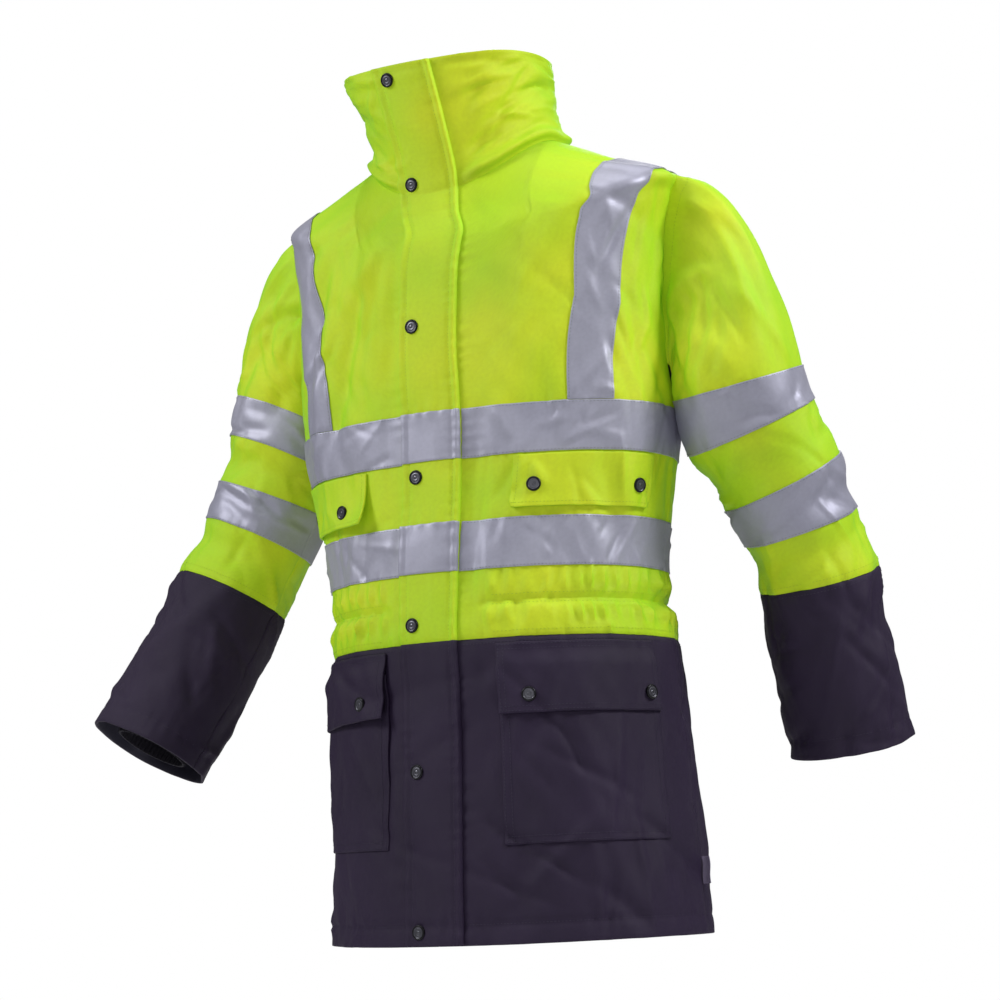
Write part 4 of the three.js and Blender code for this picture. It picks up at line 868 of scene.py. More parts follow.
@dataclass(frozen=True)
class ClothFinish:
    """A cloth's look: its two colours, weave, creases and gloss.

    edge is painted shade: the colour that it turns to where it is seen at a slant.
    """

    name: str
    light: Colour
    deep: Colour
    rough: float
    weave: float = 0.00008
    crease: float = 0.0005
    crease_size: float = 20.0
    pitch: float = 0.0011
    sheen: float = 0.0
    specular: float = 0.4
    metal: float = 0.0
    # the glow is painted light: the cloth gives out its own colour, which lifts its shade
    painted_glow: float = 0.0
    # the edge colour is painted shade for faces seen at a slant
    edge: Colour | None = None

    def build(self, groups: dict[str, bpy.types.NodeTree]) -> bpy.types.Material:
        """Makes the material.

        Args:
            groups: The shared node groups by name.

        Returns:
            The finished material.
        """
        material = bpy.data.materials.new(self.name)
        material.use_nodes = True
        material.diffuse_color = (*self.light, 1.0)
        tree = material.node_tree
        link, shader = tree.links.new, tree.nodes["Principled BSDF"]
        plain = {"Specular IOR Level": self.specular, "Metallic": self.metal, "Sheen Weight": self.sheen,
                 "Sheen Roughness": 0.5}
        for socket, value in plain.items():
            shader.inputs[socket].default_value = value
        weave = add_node(tree, "Group", {"Pitch": self.pitch}, node_tree=groups["weave"])
        crease = add_node(tree, "Group", {"Size": self.crease_size}, node_tree=groups["crease"])
        shades = add_node(tree, "Mix", {"A": (*self.deep, 1.0), "B": (*self.light, 1.0)}, data_type="RGBA")
        spread = add_node(tree, "MapRange", {"From Min": 0.3, "From Max": 0.65})
        link(crease.outputs["Patch"], spread.inputs["Value"])
        link(spread.outputs[0], shades.inputs["Factor"])
        speck = add_node(tree, "Mix", {"Factor": 0.16}, data_type="RGBA", blend_type="MULTIPLY")
        link(shades.outputs["Result"], speck.inputs["A"])
        link(weave.outputs["Shade"], speck.inputs["B"])
        shown = speck.outputs["Result"]
        # Painted shade: the colour turns towards the edge colour where the face is seen at a slant.
        if self.edge:
            slant_shade_facing = add_node(tree, "LayerWeight", {"Blend": 0.42})
            side = add_node(tree, "Mix", {"B": (*self.edge, 1.0)}, data_type="RGBA")
            link(slant_shade_facing.outputs["Facing"], side.inputs["Factor"])
            link(shown, side.inputs["A"])
            shown = side.outputs["Result"]
        link(shown, shader.inputs["Base Color"])
        # Painted light: the cloth gives out its shown colour as a faint glow.
        if self.painted_glow:
            link(shown, shader.inputs["Emission Color"])
            shader.inputs["Emission Strength"].default_value = self.painted_glow
        gloss = add_node(tree, "MapRange", {"To Min": self.rough - 0.06, "To Max": self.rough + 0.06})
        link(weave.outputs["Shade"], gloss.inputs["Value"])
        link(gloss.outputs[0], shader.inputs["Roughness"])
        folds = add_node(tree, "Bump", {"Distance": self.crease, "Strength": 1.0})
        link(crease.outputs["Height"], folds.inputs["Height"])
        threads = add_node(tree, "Bump", {"Distance": self.weave, "Strength": 1.0})
        link(weave.outputs["Height"], threads.inputs["Height"])
        link(folds.outputs["Normal"], threads.inputs["Normal"])
        link(threads.outputs["Normal"], shader.inputs["Normal"])
        return material


@dataclass(frozen=True)
class MetalFinish:
    """Painted or bare metal of the press studs."""

    name: str
    colour: Colour
    rough: float
    metal: float

    def build(self, groups: dict[str, bpy.types.NodeTree]) -> bpy.types.Material:
        """Makes the material with faint handling marks.

        Args:
            groups: The shared node groups by name.

        Returns:
            The finished material.
        """
        material = bpy.data.materials.new(self.name)
        material.use_nodes = True
        tree = material.node_tree
        link, shader = tree.links.new, tree.nodes["Principled BSDF"]
        shader.inputs["Metallic"].default_value = self.metal
        marks = add_node(tree, "Group", {"Size": 900.0}, node_tree=groups["crease"]).outputs["Height"]
        worn = [c * 1.6 + 0.01 for c in self.colour]
        tone = add_node(tree, "Mix", {"A": (*self.colour, 1.0), "B": (*worn, 1.0)}, data_type="RGBA")
        link(marks, tone.inputs["Factor"])
        link(tone.outputs["Result"], shader.inputs["Base Color"])
        gloss = add_node(tree, "MapRange", {"To Min": self.rough, "To Max": self.rough + 0.3})
        link(marks, gloss.inputs["Value"])
        link(gloss.outputs[0], shader.inputs["Roughness"])
        return material


# The yellow's edge colour is painted shade on faces seen at a slant.
# The yellow's glow is painted light.
YELLOW = ClothFinish("yellow_shell", (0.71, 0.80, 0.018), (0.48, 0.74, 0.012), 0.5, crease=0.0012,
                     crease_size=24.0, specular=0.3, painted_glow=0.06, edge=(0.30, 0.66, 0.012))
NAVY = ClothFinish("navy_shell", (0.022, 0.011, 0.040), (0.016, 0.008, 0.030), 0.6, crease=0.0012,
                   crease_size=24.0, specular=0.3)
SILVER = ClothFinish("reflective_tape", (0.43, 0.43, 0.53), (0.37, 0.37, 0.47), 0.46, 0.00002, 0.0011, 20.0,
                     0.0008, 0.0, 0.45, 0.32)
RIB = ClothFinish("ribbed_knit", (0.016, 0.013, 0.024), (0.01, 0.008, 0.016), 0.9, 0.0002, 0.0003,
                  30.0, 0.0014)
LINING = ClothFinish("lining", (0.03, 0.028, 0.05), (0.022, 0.02, 0.038), 0.5, 0.00004, 0.0006, 26.0, 0.0005)
RIBBON = ClothFinish("side_ribbon", (0.19, 0.16, 0.25), (0.16, 0.13, 0.21), 0.7, 0.00006, 0.0, 20.0, 0.0006)
# The yellow thread's glow is painted light.
YELLOW_THREAD = ClothFinish("yellow_thread", (0.42, 0.6, 0.02), (0.36, 0.54, 0.016), 0.6, 0.0, 0.0, painted_glow=0.05)
NAVY_THREAD = ClothFinish("navy_thread", (0.036, 0.03, 0.062), (0.03, 0.024, 0.052), 0.6, 0.0, 0.0)
TAPE_THREAD = ClothFinish("tape_thread", (0.22, 0.24, 0.24), (0.18, 0.2, 0.2), 0.6, 0.0, 0.0)
CAP_RING = MetalFinish("cap_ring", (0.012, 0.012, 0.015), 0.3, 0.7)
CAP_DISH = MetalFinish("cap_dish", (0.11, 0.11, 0.13), 0.35, 0.9)


class Wardrobe:
    """All finishes, made once, and the dressing of pieces with them."""

    def __init__(self) -> None:
        """Makes the shared node groups."""
        self.groups = {"weave": build_weave_group(), "crease": build_crease_group()}
        self.made: dict[str, bpy.types.Material] = {}

    def get(self, finish: ClothFinish | MetalFinish) -> bpy.types.Material:
        """The material of a finish."""
        if finish.name not in self.made:
            self.made[finish.name] = finish.build(self.groups)
        return self.made[finish.name]

    def dress(self, piece: bpy.types.Object, slot: Slot, finishes: Sequence[ClothFinish | MetalFinish],
              nodes: Sequence[str] = ()) -> None:
        """Gives a piece its materials and its place on the frame.

        Args:
            piece: The piece.
            slot: The record's material slot; not used.
            finishes: Its finishes in the order of its material numbers.
            nodes: The part's nodes that it stands for.
        """
        for finish in finishes:
            piece.data.materials.append(self.get(finish))
        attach(piece, "root")
        if nodes:
            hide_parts(*nodes)
        LOG.info("%s: %d faces", piece.name, len(piece.data.polygons))


@dataclass
class Workroom:
    """What every sub-assembly is made with."""

    body: BodyForm
    wardrobe: Wardrobe

    def line(self, angle: np.ndarray, down: np.ndarray, lift: float) -> tuple[np.ndarray, np.ndarray]:
        """A line on the body for stitches: its points and outward directions."""
        angle, down = np.broadcast_arrays(np.asarray(angle, float), np.asarray(down, float))
        return self.body.point(angle, down, lift), self.body.normal(angle, down)


# ---- Torso

@dataclass
class Torso:
    """Yellow upper body: two fronts and a back, from the navy seam to the neck."""

    shop: Workroom
    face_size: float = 3.4
    back_face_size: float = 4.0
    front_flat: tuple[float, float] = (0.32, 0.50)
    back_flat: tuple[float, float] = (0.60, 0.56)
    front_area: float = 0.142
    back_area: float = 0.263

    def build(self) -> None:
        """Makes the three panels and the stitching of the waist casing."""
        for side in Side:
            chart = PanelChart(self.shop.body, side, Face.FRONT)
            piece = self.front(chart)
            self.finish(piece, f"front_{side.word}_yellow", self.front_flat, self.front_area)
        self.finish(self.back(), "back_yellow", self.back_flat, self.back_area)
        self.stitches()

    def finish(self, piece: bpy.types.Object, node: str, flat: tuple[float, float], area: float) -> None:
        """Thickens and lines a panel, and dresses it."""
        thicken(piece, CLOTH, lining=True)
        self.shop.wardrobe.dress(piece, Slot.YELLOW, (YELLOW, LINING), (node,))

    def row(self, v: np.ndarray) -> np.ndarray:
        """Chart rows for shares up a panel, spread by real length."""
        foot = 0.48
        return np.where(v < foot, v / foot, 1 + (v - foot) / (1 - foot))

    def columns(self, u: np.ndarray) -> np.ndarray:
        """Chart columns for shares from the centre line to the side."""
        places = np.array([0, 30, 65, 76, 88, 114, 138, 158, 177, 203, 226, 262], float)
        return np.interp(u * places[-1], places, np.arange(len(places)))

    def front(self, chart: PanelChart) -> bpy.types.Object:
        """One front half."""
        def surface(u: np.ndarray, v: np.ndarray) -> np.ndarray:
            return self.shop.body.point(*chart.at(self.columns(u), self.row(v)))
        name = f"front_{chart.side.word}_shell"
        return grid_mesh(name, int(290 / self.face_size), int(520 / self.face_size), surface)

    def back(self) -> bpy.types.Object:
        """The whole back, from side to side."""
        left = PanelChart(self.shop.body, Side.LEFT, Face.BACK)
        right = PanelChart(self.shop.body, Side.RIGHT, Face.BACK)

        def surface(u: np.ndarray, v: np.ndarray) -> np.ndarray:
            share = np.abs(2 * u - 1)
            row = self.row(v)
            angle_l, down_l = left.at(self.columns(share), row)
            angle_r, down_r = right.at(self.columns(share), row)
            on_left = u <= 0.5
            angle = np.where(on_left, angle_l, 360 + angle_r)
            return self.shop.body.point(angle, np.where(on_left, down_l, down_r))
        size = self.back_face_size
        return grid_mesh("back_shell", int(600 / size), int(560 / size), surface)

    def stitches(self) -> None:
        """Two rows along the waist casing and one above the navy seam."""
        lines = []
        turn = np.linspace(18, 342, 500)
        for down in (GATHER_LINE - 4.5, GATHER_LINE + 4.5):
            lines.append(self.shop.line(turn, np.full_like(turn, down), STITCH_RISE))
        lines.append(self.shop.line(turn, np.full_like(turn, NAVY_SEAM - 6), STITCH_RISE))
        piece = stitch_mesh("waist_stitches", lines, Thread(4.0))
        self.shop.wardrobe.dress(piece, Slot.YELLOW, (YELLOW_THREAD,))


@dataclass
class Skirt:
    """Navy lower body: two fronts and a back, from the navy seam to the hem."""

    shop: Workroom
    face_size: float = 4.0
    front_flat: tuple[float, float] = (0.30, 0.30)
    back_flat: tuple[float, float] = (0.50, 0.30)

    def build(self) -> None:
        """Makes the three panels and the hem's stitching."""
        body = self.shop.body
        spans = {"front_left": (0.0, SIDE_SEAM), "back": (SIDE_SEAM, 360 - SIDE_SEAM),
                 "front_right": (360 - SIDE_SEAM, 360.0)}
        for name, (start, end) in spans.items():
            def surface(u: np.ndarray, v: np.ndarray, start: float = start, end: float = end) -> np.ndarray:
                down = NAVY_SEAM + (HEM - NAVY_SEAM) * v
                return body.point(start + (end - start) * u, down)
            width = 600 if name == "back" else 300
            size = self.face_size * (1.17 if name == "back" else 1.0)
            piece = grid_mesh(f"{name}_skirt", int(width / size), int(295 / size), surface)
            thicken(piece, CLOTH, lining=True)
            self.shop.wardrobe.dress(piece, Slot.NAVY, (NAVY, LINING), (f"{name}_navy",))
            self.back_flat if name == "back" else self.front_flat
        turn = np.linspace(1, 359, 700)
        lines = [self.shop.line(turn, np.full_like(turn, down), STITCH_RISE) for down in (HEM - 20, NAVY_SEAM + 5)]
        for seam in (SIDE_SEAM, 360 - SIDE_SEAM):
            drop = np.linspace(NAVY_SEAM + 8, HEM - 4, 160)
            lines.append(self.shop.line(np.full_like(drop, seam + 1.6), drop, STITCH_RISE))
        stitches = stitch_mesh("skirt_stitches", lines)
        self.shop.wardrobe.dress(stitches, Slot.NAVY, (NAVY_THREAD,))


# ---- Reflective tapes

@dataclass
class BodyTapes:
    """The two tapes round the body and the braces over the shoulders."""

    shop: Workroom
    face_size: float = 2.6

    def build(self) -> None:
        """Makes every tape with its edge stitches."""
        for label, (top, bottom) in (("chest", CHEST_TAPE), ("waist", WAIST_TAPE)):
            self.level_tapes(label, top, bottom)
        for side in Side:
            for face in Face:
                self.brace(side, face)

    def level_tapes(self, label: str, top: float, bottom: float) -> None:
        """One tape round the body, in three lengths that meet at the side seams."""
        body = self.shop.body
        middle = (top + bottom) / 2
        spans = {
            "left": (float(body.angle_at(PLACKET_SEWN + 0.7, middle)), SIDE_SEAM, 0.26),
            "right": (-SIDE_SEAM, float(body.angle_at(PLACKET_FREE + 8, middle)), 0.26),
            "back": (SIDE_SEAM, 360 - SIDE_SEAM, 0.50),
        }
        lines = []
        for name, (start, end, length) in spans.items():
            def surface(u: np.ndarray, v: np.ndarray, start: float = start, end: float = end) -> np.ndarray:
                return body.point(start + (end - start) * u, top + (bottom - top) * v, LAID + TAPE)
            piece = grid_mesh(f"{label}_band_{name}", int(length * 1000 / self.face_size),
                              int(50 / self.face_size), surface)
            thicken(piece, TAPE)
            self.shop.wardrobe.dress(piece, Slot.TAPE, (SILVER,), (f"{label}_tape_{name}",))
            turn = np.linspace(start + 0.3, end - 0.3, int(300 * length) + 40)
            for down in (top + 1.6, bottom - 1.6):
                lines.append(self.shop.line(turn, np.full_like(turn, down), LAID + TAPE + 0.1))
        stitches = stitch_mesh(f"{label}_band_stitches", lines)
        self.shop.wardrobe.dress(stitches, Slot.TAPE, (TAPE_THREAD,))

    def brace(self, side: Side, face: Face) -> None:
        """The tape over one shoulder, on one face of the body."""
        body = self.shop.body
        chart = PanelChart(body, side, face)
        turn = 0.04

        def place(u: np.ndarray, v: np.ndarray) -> tuple[np.ndarray, np.ndarray]:
            bow = 0.45 * np.sin(math.pi * np.clip((v - 0.35) / 0.6, 0, 1)) - 0.3 * ramp(v, 0.85, 1.0)
            column = 6 + 2 * u - (bow if face is Face.FRONT and side is Side.LEFT else 0 * bow)
            start = chart.row_of(column, CHEST_TAPE[0] - 0.4)
            row = np.where(v < turn, start + (1 - start) * v / turn, 1 + (v - turn) / (1 - turn))
            angle, down = chart.at(column, row)
            return (angle, down) if face is Face.FRONT or side is Side.LEFT else (360 + angle, down)

        name = f"brace_{side.word}_{face.value}"
        piece = grid_mesh(f"{name}_band", int(52 / self.face_size), int(270 / self.face_size),
                          lambda u, v: body.point(*place(u, v), LAID + TAPE))
        thicken(piece, TAPE)
        self.shop.wardrobe.dress(piece, Slot.TAPE, (SILVER,), (name,))
        run = np.linspace(0.005, 0.995, 140)
        lines = [self.shop.line(*place(np.full_like(run, edge), run), LAID + TAPE + 0.1)
                 for edge in (0.04, 0.96)]
        stitches = stitch_mesh(f"{name}_stitches", lines)
        self.shop.wardrobe.dress(stitches, Slot.TAPE, (TAPE_THREAD,))


# ---- Collar

@dataclass
class Collar:
    """Tall padded stand collar, open at the front under the storm flap."""

    shop: Workroom
    sections: Sections = field(default_factory=lambda: Sections(
        ("step", "side", "front", "back", "half", "fore", "aft", "cx", "cy"), (
            (0, 0, -59, 23, 105, 87, 86, 0, -10),
            (1, 20, -32, 44, 103, 90, 83, -1, -12),
            (2, 43, 4, 68, 104, 95, 80, -4, -17),
            (3, 67, 42, 93, 109, 98, 79, -8, -24),
            (4, 86, 74, 113, 114, 99, 80, -12, -31),
        )))
    power: float = 2.2
    folds: tuple[Fold, ...] = (
        Fold(38, 88, 70, 82, 6, -3.0), Fold(52, 70, 80, 74, 6, -3.4), Fold(46, 79, 70, 78, 5, 2.2),
        Fold(60, 22, 50, 66, 7, -3.0), Fold(48, 34, 60, 84, 8, 2.0), Fold(26, 60, 60, 40, 9, -2.0),
        Fold(80, 50, 60, 70, 7, -2.4), Fold(-30, 96, 60, -60, 7, -3.0), Fold(-48, 60, 70, -70, 8, -2.6),
        Fold(-40, 30, 60, -80, 8, 2.0), Fold(-76, 90, 60, -76, 8, -2.8), Fold(20, 110, 40, 60, 6, -2.0),
        Fold(120, 70, 80, 80, 7, -2.6), Fold(150, 40, 70, -76, 8, -2.2), Fold(180, 80, 90, 84, 7, -2.6),
        Fold(205, 45, 70, 74, 8, -2.2), Fold(240, 75, 80, -80, 7, -2.6), Fold(168, 100, 70, 84, 7, 2.0),
    )
    scatters: tuple[Creases, ...] = (
        Creases(91, 90, (12, 348), (8, 125), 76, 22, (30.0, 90.0), (2.8, 6.5), (1.0, 2.8)),)
    tall: float = 133.0
    flat: tuple[float, float] = (0.60, 0.125)

    def __post_init__(self) -> None:
        """Scatters the small creases."""
        self.small_folds = [fold for scatter in self.scatters for fold in scatter.folds()]

    def skin(self, angle: np.ndarray, step: np.ndarray) -> np.ndarray:
        """Points of the collar's smooth form, in millimetres."""
        s = self.sections.at(step)
        sine, cosine = np.sin(np.radians(angle)), np.cos(np.radians(angle))
        depth = np.where(cosine > 0, s["fore"], s["aft"])
        height = np.where(cosine > 0, s["front"], s["back"])
        return np.stack([s["cx"] + s["half"] * signed_power(sine, 2 / self.power),
                         s["cy"] - depth * signed_power(cosine, 2 / self.power),
                         s["side"] + (height - s["side"]) * cosine**2], -1)

    def normal(self, angle: np.ndarray, step: np.ndarray) -> np.ndarray:
        """Outward directions of the smooth form."""
        around = self.skin(angle + 1, step) - self.skin(angle - 1, step)
        along = self.skin(angle, np.minimum(step + 0.05, 4)) - self.skin(angle, np.maximum(step - 0.05, 0))
        return unit(np.cross(around, along))

    def relief(self, angle: np.ndarray, step: np.ndarray) -> np.ndarray:
        """Height of the crumples, the roll over the neck seam and the top edge's roll."""
        down = self.tall * (1 - step / 4)
        rise = Rumple(5, 0.7, 60.0, 40.0).value(np.radians(angle) * COLLAR_ROUND, down)
        for item in (*self.folds, *self.small_folds):
            rise = rise + item.height(angle, down, COLLAR_ROUND)
        calm = ramp(np.abs(wrap(angle)), 12.0, 30.0)
        roll = 6.5 * np.exp(-(((step - 0.4) / 0.27) ** 2)) * ramp(step, 0.0, 0.25)
        top = -1.2 * np.exp(-(((step - 3.78) / 0.05) ** 2))
        return (0.25 + 0.75 * calm) * rise * ramp(step, 0.0, 0.5) + calm * roll + top

    def point(self, angle: np.ndarray, step: np.ndarray, lift: np.ndarray | float = 0.0) -> np.ndarray:
        """Points of the finished cloth, moved out by lift, in millimetres."""
        angle, step = np.broadcast_arrays(np.asarray(angle, float), np.asarray(step, float))
        height = np.asarray(lift + self.relief(angle, step))[..., None]
        return self.skin(angle, step) + self.normal(angle, step) * height

    def angle_at(self, distance: np.ndarray, step: np.ndarray) -> np.ndarray:
        """The angle of a distance from the centre line."""
        share = np.abs(distance) / self.sections.at(step)["half"]
        return np.sign(distance) * np.degrees(np.arcsin(share ** (self.power / 2)))

    def build(self) -> None:
        """Makes the collar and the stitching under its top edge."""
        def surface(u: np.ndarray, v: np.ndarray) -> np.ndarray:
            return self.point(0.3 + 359.4 * u, 4 * v)
        piece = grid_mesh("stand_collar", 216, 46, surface)
        thicken(piece, COLLAR_CLOTH, edge=0.4)
        self.shop.wardrobe.dress(piece, Slot.YELLOW, (YELLOW,), ("collar",))
        turn = np.linspace(20, 345, 360)
        step = np.full_like(turn, 3.78)
        lines = [(self.point(turn, step, STITCH_RISE), self.normal(turn, step))]
        stitches = stitch_mesh("collar_stitches", lines)
        self.shop.wardrobe.dress(stitches, Slot.YELLOW, (YELLOW_THREAD,))


# ---- Storm flap

@dataclass
class StormFlap:
    """The snapped flap over the front opening, up the body and on up the collar."""

    shop: Workroom
    collar: Collar
    snap_distance: float = -20.0
    snap_drops: tuple[float, ...] = (184, 357, 507, 652, 806)
    snap_steps: tuple[float, ...] = (0.42, 3.55)
    welt: float = 1.7

    def lift(self, share: np.ndarray) -> np.ndarray:
        """How far the flap's under face stands off the fronts, from its free to its sewn edge."""
        return 2.1 + (0.25 - 2.1) * np.clip((share - 0.6) / 0.4, 0, 1)

    def swell(self, share: np.ndarray) -> np.ndarray:
        """Rise of the folded free edge and of the welt along the sewn edge."""
        edge = np.exp(-(((share - 0.03) / 0.05) ** 2)) - 0.8 * np.exp(-(((share - 0.13) / 0.03) ** 2))
        groove = -0.9 * np.exp(-(((share - 0.875) / 0.025) ** 2))
        return edge + groove + self.welt * np.exp(-(((share - 0.955) / 0.035) ** 2))

    def wave(self, share: np.ndarray, down: np.ndarray) -> np.ndarray:
        """The free edge's uneven lift between the snaps, and the seam's puckers."""
        free = (1 - share) ** 2
        slow = 0.9 * np.sin(down / 33 + 0.6) + 0.6 * np.sin(down / 14 + 2.0)
        return free * slow + pucker(down, (share - 0.9) * 65.0, 2.2, 0.7, 13.0, 7.0)

    def height(self, share: np.ndarray, down: np.ndarray, extra: float) -> np.ndarray:
        """Height of the flap's outer face, brought down where its edge is sewn in."""
        out = LAID + PLACKET_CLOTH + self.lift(share) + self.swell(share) + self.wave(share, down)
        sewn = ramp(share, 0.965, 1.0)
        return out * (1 - sewn) + 0.9 * sewn + extra

    def body_place(self, share: np.ndarray, down: np.ndarray) -> tuple[np.ndarray, np.ndarray]:
        """Angle and drop for a share across the flap."""
        distance = PLACKET_FREE + (PLACKET_SEWN - PLACKET_FREE) * share
        return self.shop.body.angle_at(distance, down), down

    def on_body(self, share: np.ndarray, down: np.ndarray, extra: float = 0.0) -> np.ndarray:
        """Points of the flap's outer face on the body."""
        out = self.height(share, down, extra)
        return self.shop.body.point(*self.body_place(share, down), out)

    def on_collar(self, share: np.ndarray, step: np.ndarray, extra: float = 0.0) -> np.ndarray:
        """Points of the flap's outer face on the collar."""
        distance = PLACKET_FREE + (PLACKET_SEWN - PLACKET_FREE) * share
        out = self.height(share, -33.0 * step, extra)
        return self.collar.point(self.collar.angle_at(distance, step), step, out)

    def upper(self, u: np.ndarray, v: np.ndarray, extra: float = 0.0) -> np.ndarray:
        """The yellow length: up the body for shares below the neck, then up the collar."""
        neck = 0.79
        on_body = self.on_body(u, np.clip(NAVY_SEAM * (1 - v / neck), 0.35, NAVY_SEAM), extra)
        step = np.clip((v - neck) / (1 - neck), 0, 1) * 4
        on_collar = self.on_collar(u, step, extra)
        blend = ramp(v, neck - 0.012, neck + 0.012)[..., None]
        return on_body * (1 - blend) + on_collar * blend

    def build(self) -> None:
        """Makes the two lengths, their tapes, stitches and snaps."""
        room = self.shop.wardrobe
        yellow = grid_mesh("storm_flap_yellow", 34, 190, self.upper)
        thicken(yellow, PLACKET_CLOTH, edge=0.35)
        room.dress(yellow, Slot.YELLOW, (YELLOW,), ("placket_yellow",))
        navy = grid_mesh("storm_flap_navy", 34, 84,
                         lambda u, v: self.on_body(u, NAVY_SEAM + (HEM - 1 - NAVY_SEAM) * v))
        thicken(navy, PLACKET_CLOTH, edge=0.35)
        room.dress(navy, Slot.NAVY, (NAVY,), ("placket_navy",))
        for label, (top, bottom) in (("chest", CHEST_TAPE), ("waist", WAIST_TAPE)):
            band = grid_mesh(f"{label}_band_flap", 34, 18, lambda u, v, top=top, bottom=bottom: (
                self.on_body(u, top + (bottom - top) * v, LAID + TAPE)))
            thicken(band, TAPE)
            room.dress(band, Slot.TAPE, (SILVER,), (f"{label}_tape_placket",))
        self.stitches()
        self.snaps()

    def stitches(self) -> None:
        """Lines inside the free edge and beside the welt."""
        run = np.linspace(0.004, 0.99, 420)
        below = np.linspace(NAVY_SEAM + 2, HEM - 3, 190)
        for name, slot, finish in (("yellow", Slot.YELLOW, YELLOW_THREAD), ("navy", Slot.NAVY, NAVY_THREAD)):
            lines = []
            for share in (0.13, 0.875):
                if name == "yellow":
                    points = self.upper(np.full_like(run, share), run, 0.1)
                else:
                    points = self.on_body(np.full_like(below, share), below, 0.1)
                angle = self.shop.body.angle_at(PLACKET_FREE + (PLACKET_SEWN - PLACKET_FREE) * share, 300.0)
                way = np.array([math.sin(math.radians(float(angle))), -1.0, 0.0])
                lines.append((points, np.tile(unit(way), (len(points), 1))))
            stitches = stitch_mesh(f"storm_flap_stitches_{name}", lines)
            self.shop.wardrobe.dress(stitches, slot, (finish,))

    def snaps(self) -> None:
        """Caps of the press studs down the flap and on the collar."""
        share = (self.snap_distance - PLACKET_FREE) / (PLACKET_SEWN - PLACKET_FREE)
        for i, down in enumerate(self.snap_drops):
            spot = self.on_body(np.array(share), np.array(down))
            angle, drop = self.body_place(np.array(share), np.array(down))
            add_snap(self.shop, f"snap_placket_{i + 1}", spot, self.shop.body.normal(angle, drop))
        for i, step in enumerate(self.snap_steps):
            spot = self.on_collar(np.array(share), np.array(step))
            angle = self.collar.angle_at(np.array(self.snap_distance), np.array(step))
            add_snap(self.shop, f"snap_collar_{i + 1}", spot, self.collar.normal(angle, np.array(step)))


# ---- Press studs

SNAP_PROFILE = ((0.0, 1.7), (1.1, 1.75), (1.6, 1.35), (2.2, 1.3), (2.8, 1.65), (4.3, 1.45), (5.0, 1.15),
                (5.4, 1.5), (6.1, 2.15), (6.9, 2.0), (7.4, 1.2), (7.5, 0.3), (7.3, -0.4))
DISH_RADIUS = 5.2


def add_snap(shop: Workroom, node: str, spot: np.ndarray, way: np.ndarray, scale: float = 1.0) -> None:
    """One press-stud cap: a rolled ring round a shallow dish.

    Args:
        shop: The workroom.
        node: The part's node that it stands for.
        spot: Its place on the cloth, in millimetres.
        way: The outward direction.
        scale: Its size against a full cap.
    """
    bm = bmesh.new()
    verts = [bm.verts.new((r * MM * scale, 0.0, h * MM * scale)) for r, h in SNAP_PROFILE]
    edges = [bm.edges.new(pair) for pair in zip(verts, verts[1:])]
    bmesh.ops.spin(bm, geom=verts + edges, cent=(0, 0, 0), axis=(0, 0, 1), angle=math.tau, steps=28,
                   use_merge=True)
    bmesh.ops.remove_doubles(bm, verts=bm.verts, dist=1e-7)
    rim = [edge for edge in bm.edges if edge.is_boundary]
    bmesh.ops.holes_fill(bm, edges=rim, sides=0)
    bmesh.ops.recalc_face_normals(bm, faces=bm.faces)
    for face in bm.faces:
        centre = face.calc_center_median()
        face.material_index = 1 if math.hypot(centre.x, centre.y) < DISH_RADIUS * MM * scale else 0
    layer = bm.loops.layers.uv.new("cloth")
    for face in bm.faces:
        for loop in face.loops:
            loop[layer].uv = loop.vert.co.xy
    turn = Vector((0, 0, 1)).rotation_difference(Vector(way)).to_matrix().to_4x4()
    bmesh.ops.transform(bm, matrix=Matrix.Translation(Vector(spot) * MM) @ turn, verts=bm.verts)
    piece = to_object(f"{node}_cap", bm)
    shop.wardrobe.dress(piece, Slot.SNAP, (CAP_RING, CAP_DISH), (node,))


# ---- Pockets

@dataclass
class LaidPatch:
    """A flat piece that lies on a front: a place for each share across and down it."""

    shop: Workroom
    side: Side
    column: float
    top: float
    bottom: float
    cloth: float
    corner: float = 0.0
    skew: float = 0.0

    def place(self, u: np.ndarray, v: np.ndarray) -> tuple[np.ndarray, np.ndarray]:
        """Angle and drop for a share from the inner edge and a share down."""
        body = self.shop.body
        chest = float(body.sections.at(np.array(ARMHOLES[Side.LEFT].bottom))["half"])
        width = 190.0
        in_edge, out_edge = np.clip(u * width, 0, self.corner), np.clip((1 - u) * width, 0, self.corner)
        reach = np.minimum(in_edge, out_edge)
        round_off = self.corner - np.sqrt(np.maximum(self.corner**2 - (self.corner - reach) ** 2, 0))
        down = self.top + (self.bottom + self.skew * (2 * u - 1) - round_off - self.top) * v
        half = body.sections.at(down)["half"]
        first = body.angle_at(self.column * half / chest, down)
        brace = body.angle_at(COLUMNS[-1][0] * half / chest, down)
        last = brace + (SIDE_SEAM - brace) * SIDE_SHARES[-1]
        return self.side.value * (first + (last - first) * u), down

    def point(self, u: np.ndarray, v: np.ndarray, out: np.ndarray | float) -> np.ndarray:
        """Points of the piece's outer face."""
        return self.shop.body.point(*self.place(u, v), LAID + self.cloth + out)


